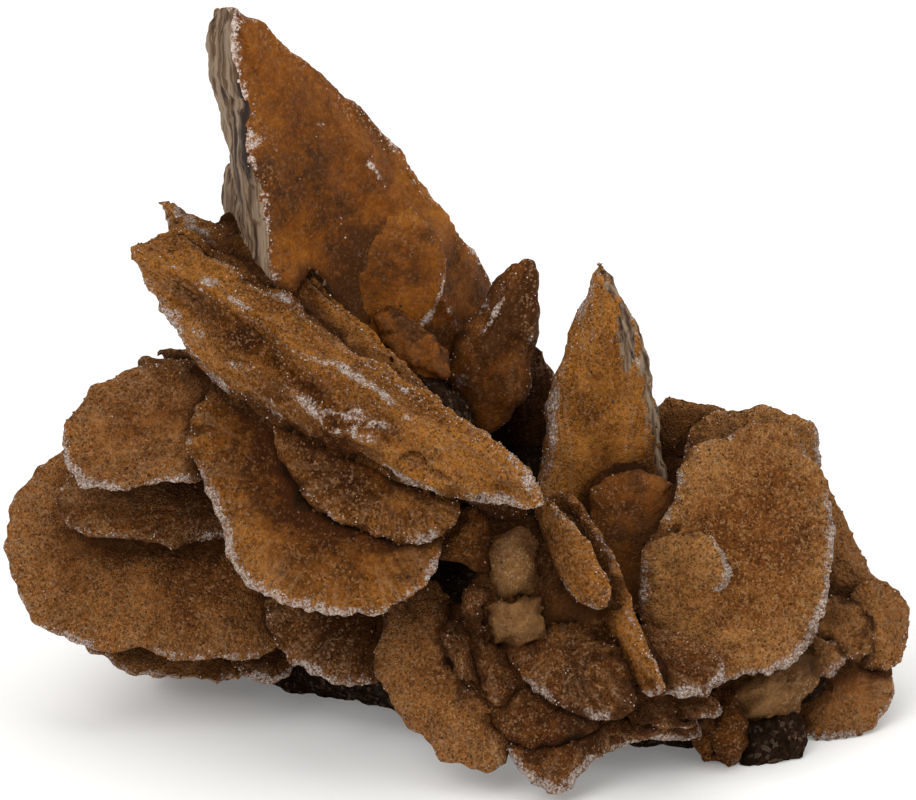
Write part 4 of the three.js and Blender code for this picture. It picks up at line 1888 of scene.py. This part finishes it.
@dataclass
class JointCement:
    """Rusty cement in the joints, which rounds the inner corners where crystals meet.

    The whole rose is swollen until its narrow joints close, and shrunk back again.
    """

    fill: float = 1.9
    sink: float = 0.6
    voxel: float = 0.8
    proud: float = 0.35

    def build(self, workshop: "Workshop") -> None:
        """Makes the cement and puts it in place.

        Args:
            workshop: holds the finishes and the shelter.
        """
        core = [merged_copy(n) for n in frame["nodes"] if n not in workshop.shelter.fused]
        mesh = even_skin(joined("cement_core", core), "joint_cement", self.voxel)
        self._push(mesh, np.full(len(mesh.vertices), self.fill))
        mesh = even_skin(mesh, "joint_cement", self.voxel)
        sheltered = workshop.shelter.over(corners(mesh), point_normals(mesh), 20)
        self._push(mesh, -self.fill - self.sink * np.clip(1.25 - 2 * sheltered, 0.25, 1))
        mesh = even_skin(mesh, "joint_cement", self.voxel)
        points, normals = corners(mesh), point_normals(mesh)
        at = points / MM
        rough = 0.5 * layered_noise(at, 5.0, 301, 3) + 0.15 * value_noise(at, 1.6, 305)
        moved = self._tucked(points, points + normals * (rough * MM)[:, None], workshop.shelter)
        moved += bent(points)
        moved[:, 2] = np.maximum(moved[:, 2], 0.0)
        move_points(mesh, moved)
        still = np.zeros(len(points))
        write_field(mesh, "sheltered", workshop.shelter.over(points, normals, 14))
        write_field(mesh, "rim_mm", still + NO_RIM)
        write_field(mesh, "tone", 0.4 * value_noise(at, 12.0, 311))
        write_field(mesh, "crusted", still + 0.3)
        for key in ("fan_mm", "crest", "bruised"):
            write_field(mesh, key, still)
        mesh.materials.clear()
        mesh.materials.append(workshop.finishes["cement"])
        piece = linked_object("joint_cement", mesh)
        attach(piece, "root")
        LOG.info("joint_cement: %d faces", len(mesh.polygons))

    def _tucked(self, points: np.ndarray, moved: np.ndarray, shelter: Shelter) -> np.ndarray:
        """Draws the cement into the crystals wherever it doesn't fill a joint.

        Args:
            points: the even skin, in metres.
            moved: the same skin once roughened.
            shelter: holds the crystals' surfaces.

        Returns:
            The tucked points.
        """
        tucked = moved.copy()
        for i, point in enumerate(points):
            place, way, _, _ = shelter.tree.find_nearest(Vector(point))
            if (Vector(point) - place).dot(way) > self.proud * MM:
                continue
            across = shelter.tree.ray_cast(place - way * 0.05 * MM, -way, 6 * MM)[3]
            depth = min(1.5 * MM, 0.45 * (across if across else 6 * MM))
            tucked[i] = place - way * depth
        return tucked

    def _push(self, mesh: bpy.types.Mesh, distance: np.ndarray) -> None:
        """Moves every point along its normal by its own distance, in millimetres."""
        move_points(mesh, corners(mesh) + point_normals(mesh) * (distance * MM)[:, None])


@dataclass
class Workshop:
    """Everything that the clusters share while they are built."""

    shelter: Shelter = field(default_factory=Shelter)

    def __post_init__(self) -> None:
        """Builds the finishes and the scattering trees."""
        self.slots = {part["node"]: part["material_slot"] for part in frame["record"]["subparts"]}
        self.finishes = {
            "amber_gypsum": AMBER.build(), "sandy_gypsum": SANDY.build(),
            "cream_gypsum": CREAM.build(), "sandy_matrix": MATRIX.build(),
            "fibrous": FIBROUS.build(), "cement": CEMENT.build(),
            "honey": HONEY.build(), "rusty": RUSTY.build(),
        }
        self.sand = GrainScatter("sand_grains", "sand_here", SAND_GRAINS.build())
        self.sugar = GrainScatter(
            "sugar_crumbs", "sugar_here", SUGAR_GRAINS.build(), 0.06, 0.16, 41
        )
        self.trees = {kind.name: kind.tree() for kind in (self.sand, self.sugar)}
        self.turn = 0

    def grains_on(
        self, mesh: bpy.types.Mesh, sand_per_mm2: float, sugar_per_mm2: float
    ) -> list[bpy.types.Mesh]:
        """Strews sand and sugary crumbs over one crystal.

        Args:
            mesh: the crystal's mesh.
            sand_per_mm2: how thick the sand lies.
            sugar_per_mm2: how thick the crumbs cling.

        Returns:
            The meshes of grains that hold anything.
        """
        self.turn += 1
        made = []
        for kind, amount in ((self.sand, sand_per_mm2), (self.sugar, sugar_per_mm2)):
            grains = kind.strew(mesh, self.trees[kind.name], self.turn, amount)
            if len(grains.polygons):
                made.append(grains)
        return made


# ------------------------------------------------------------------ studio
@dataclass
class Studio:
    """A white paper floor, large soft lights and the camera."""

    target: tuple[float, float, float] = (-0.00053, -0.00893, 0.049)
    elevation: float = 20.0
    distance: float = 0.5
    lens: float = 137.55
    sensor: float = 36.0
    room_light: float = 0.45
    floor_half: float = 4.0
    softboxes: tuple[tuple[str, tuple[float, float, float], float, float], ...] = (
        ("key", (-0.55, -0.75, 0.95), 0.8, 7.0),
        ("top", (0.15, 0.1, 1.3), 1.4, 9.0),
        ("fill", (0.9, -0.5, 0.4), 0.9, 2.0),
    )

    def build(self) -> None:
        """Sets up the floor, the world, the lights and the camera."""
        self._floor()
        self._world()
        for name, place, size, power in self.softboxes:
            self._softbox(name, place, size, power)
        self._camera()

    def _floor(self) -> None:
        """Lays the paper floor."""
        build = bmesh.new()
        bmesh.ops.create_grid(build, x_segments=1, y_segments=1, size=self.floor_half)
        mesh = bpy.data.meshes.new("paper_floor")
        build.to_mesh(mesh)
        build.free()
        mesh.materials.append(BackdropFinish().build())
        linked_object("paper_floor", mesh)

    def _world(self) -> None:
        """Fills the room with even white light."""
        world = bpy.data.worlds.new("white_room")
        world.use_nodes = True
        light = world.node_tree.nodes["Background"].inputs
        light["Color"].default_value = (1, 1, 1, 1)
        light["Strength"].default_value = self.room_light
        bpy.context.scene.world = world

    def _softbox(
        self, name: str, place: tuple[float, float, float], size: float, power: float
    ) -> None:
        """Hangs one square soft light that faces the rose.

        Args:
            name: the light's name.
            place: where it hangs, in metres.
            size: its side, in metres.
            power: its power, in watts.
        """
        data = bpy.data.lights.new(name, "AREA")
        data.size = size
        data.energy = power
        light = bpy.data.objects.new(name, data)
        bpy.context.scene.collection.objects.link(light)
        light.location = place
        aim = Vector(self.target) - Vector(place)
        light.rotation_euler = aim.to_track_quat("-Z", "Y").to_euler()

    def _camera(self) -> None:
        """Sets the camera back from its target and above it, looking gently down."""
        tilt = math.radians(self.elevation)
        back = Vector((0.0, -math.cos(tilt), math.sin(tilt)))
        data = bpy.data.cameras.new("camera")
        data.lens = self.lens
        data.sensor_width = self.sensor
        camera = bpy.data.objects.new("camera", data)
        bpy.context.scene.collection.objects.link(camera)
        camera.location = Vector(self.target) + back * self.distance
        camera.rotation_euler = (-back).to_track_quat("-Z", "Y").to_euler()
        bpy.context.scene.camera = camera
        bpy.context.scene.view_settings.view_transform = "Standard"


def main() -> None:
    """Builds the rose and its studio."""
    logging.basicConfig(level=logging.INFO, format="%(message)s", stream=sys.stdout)
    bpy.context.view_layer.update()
    workshop = Workshop()
    for cluster in (
        Spires(), Slabs(), LeftPetals(), RightPetals(), LowerFront(), FarSide(), MatrixMound()
    ):
        cluster.build(workshop)
    JointCement().build(workshop)
    Studio().build()


if __name__ == "__main__":
    main()
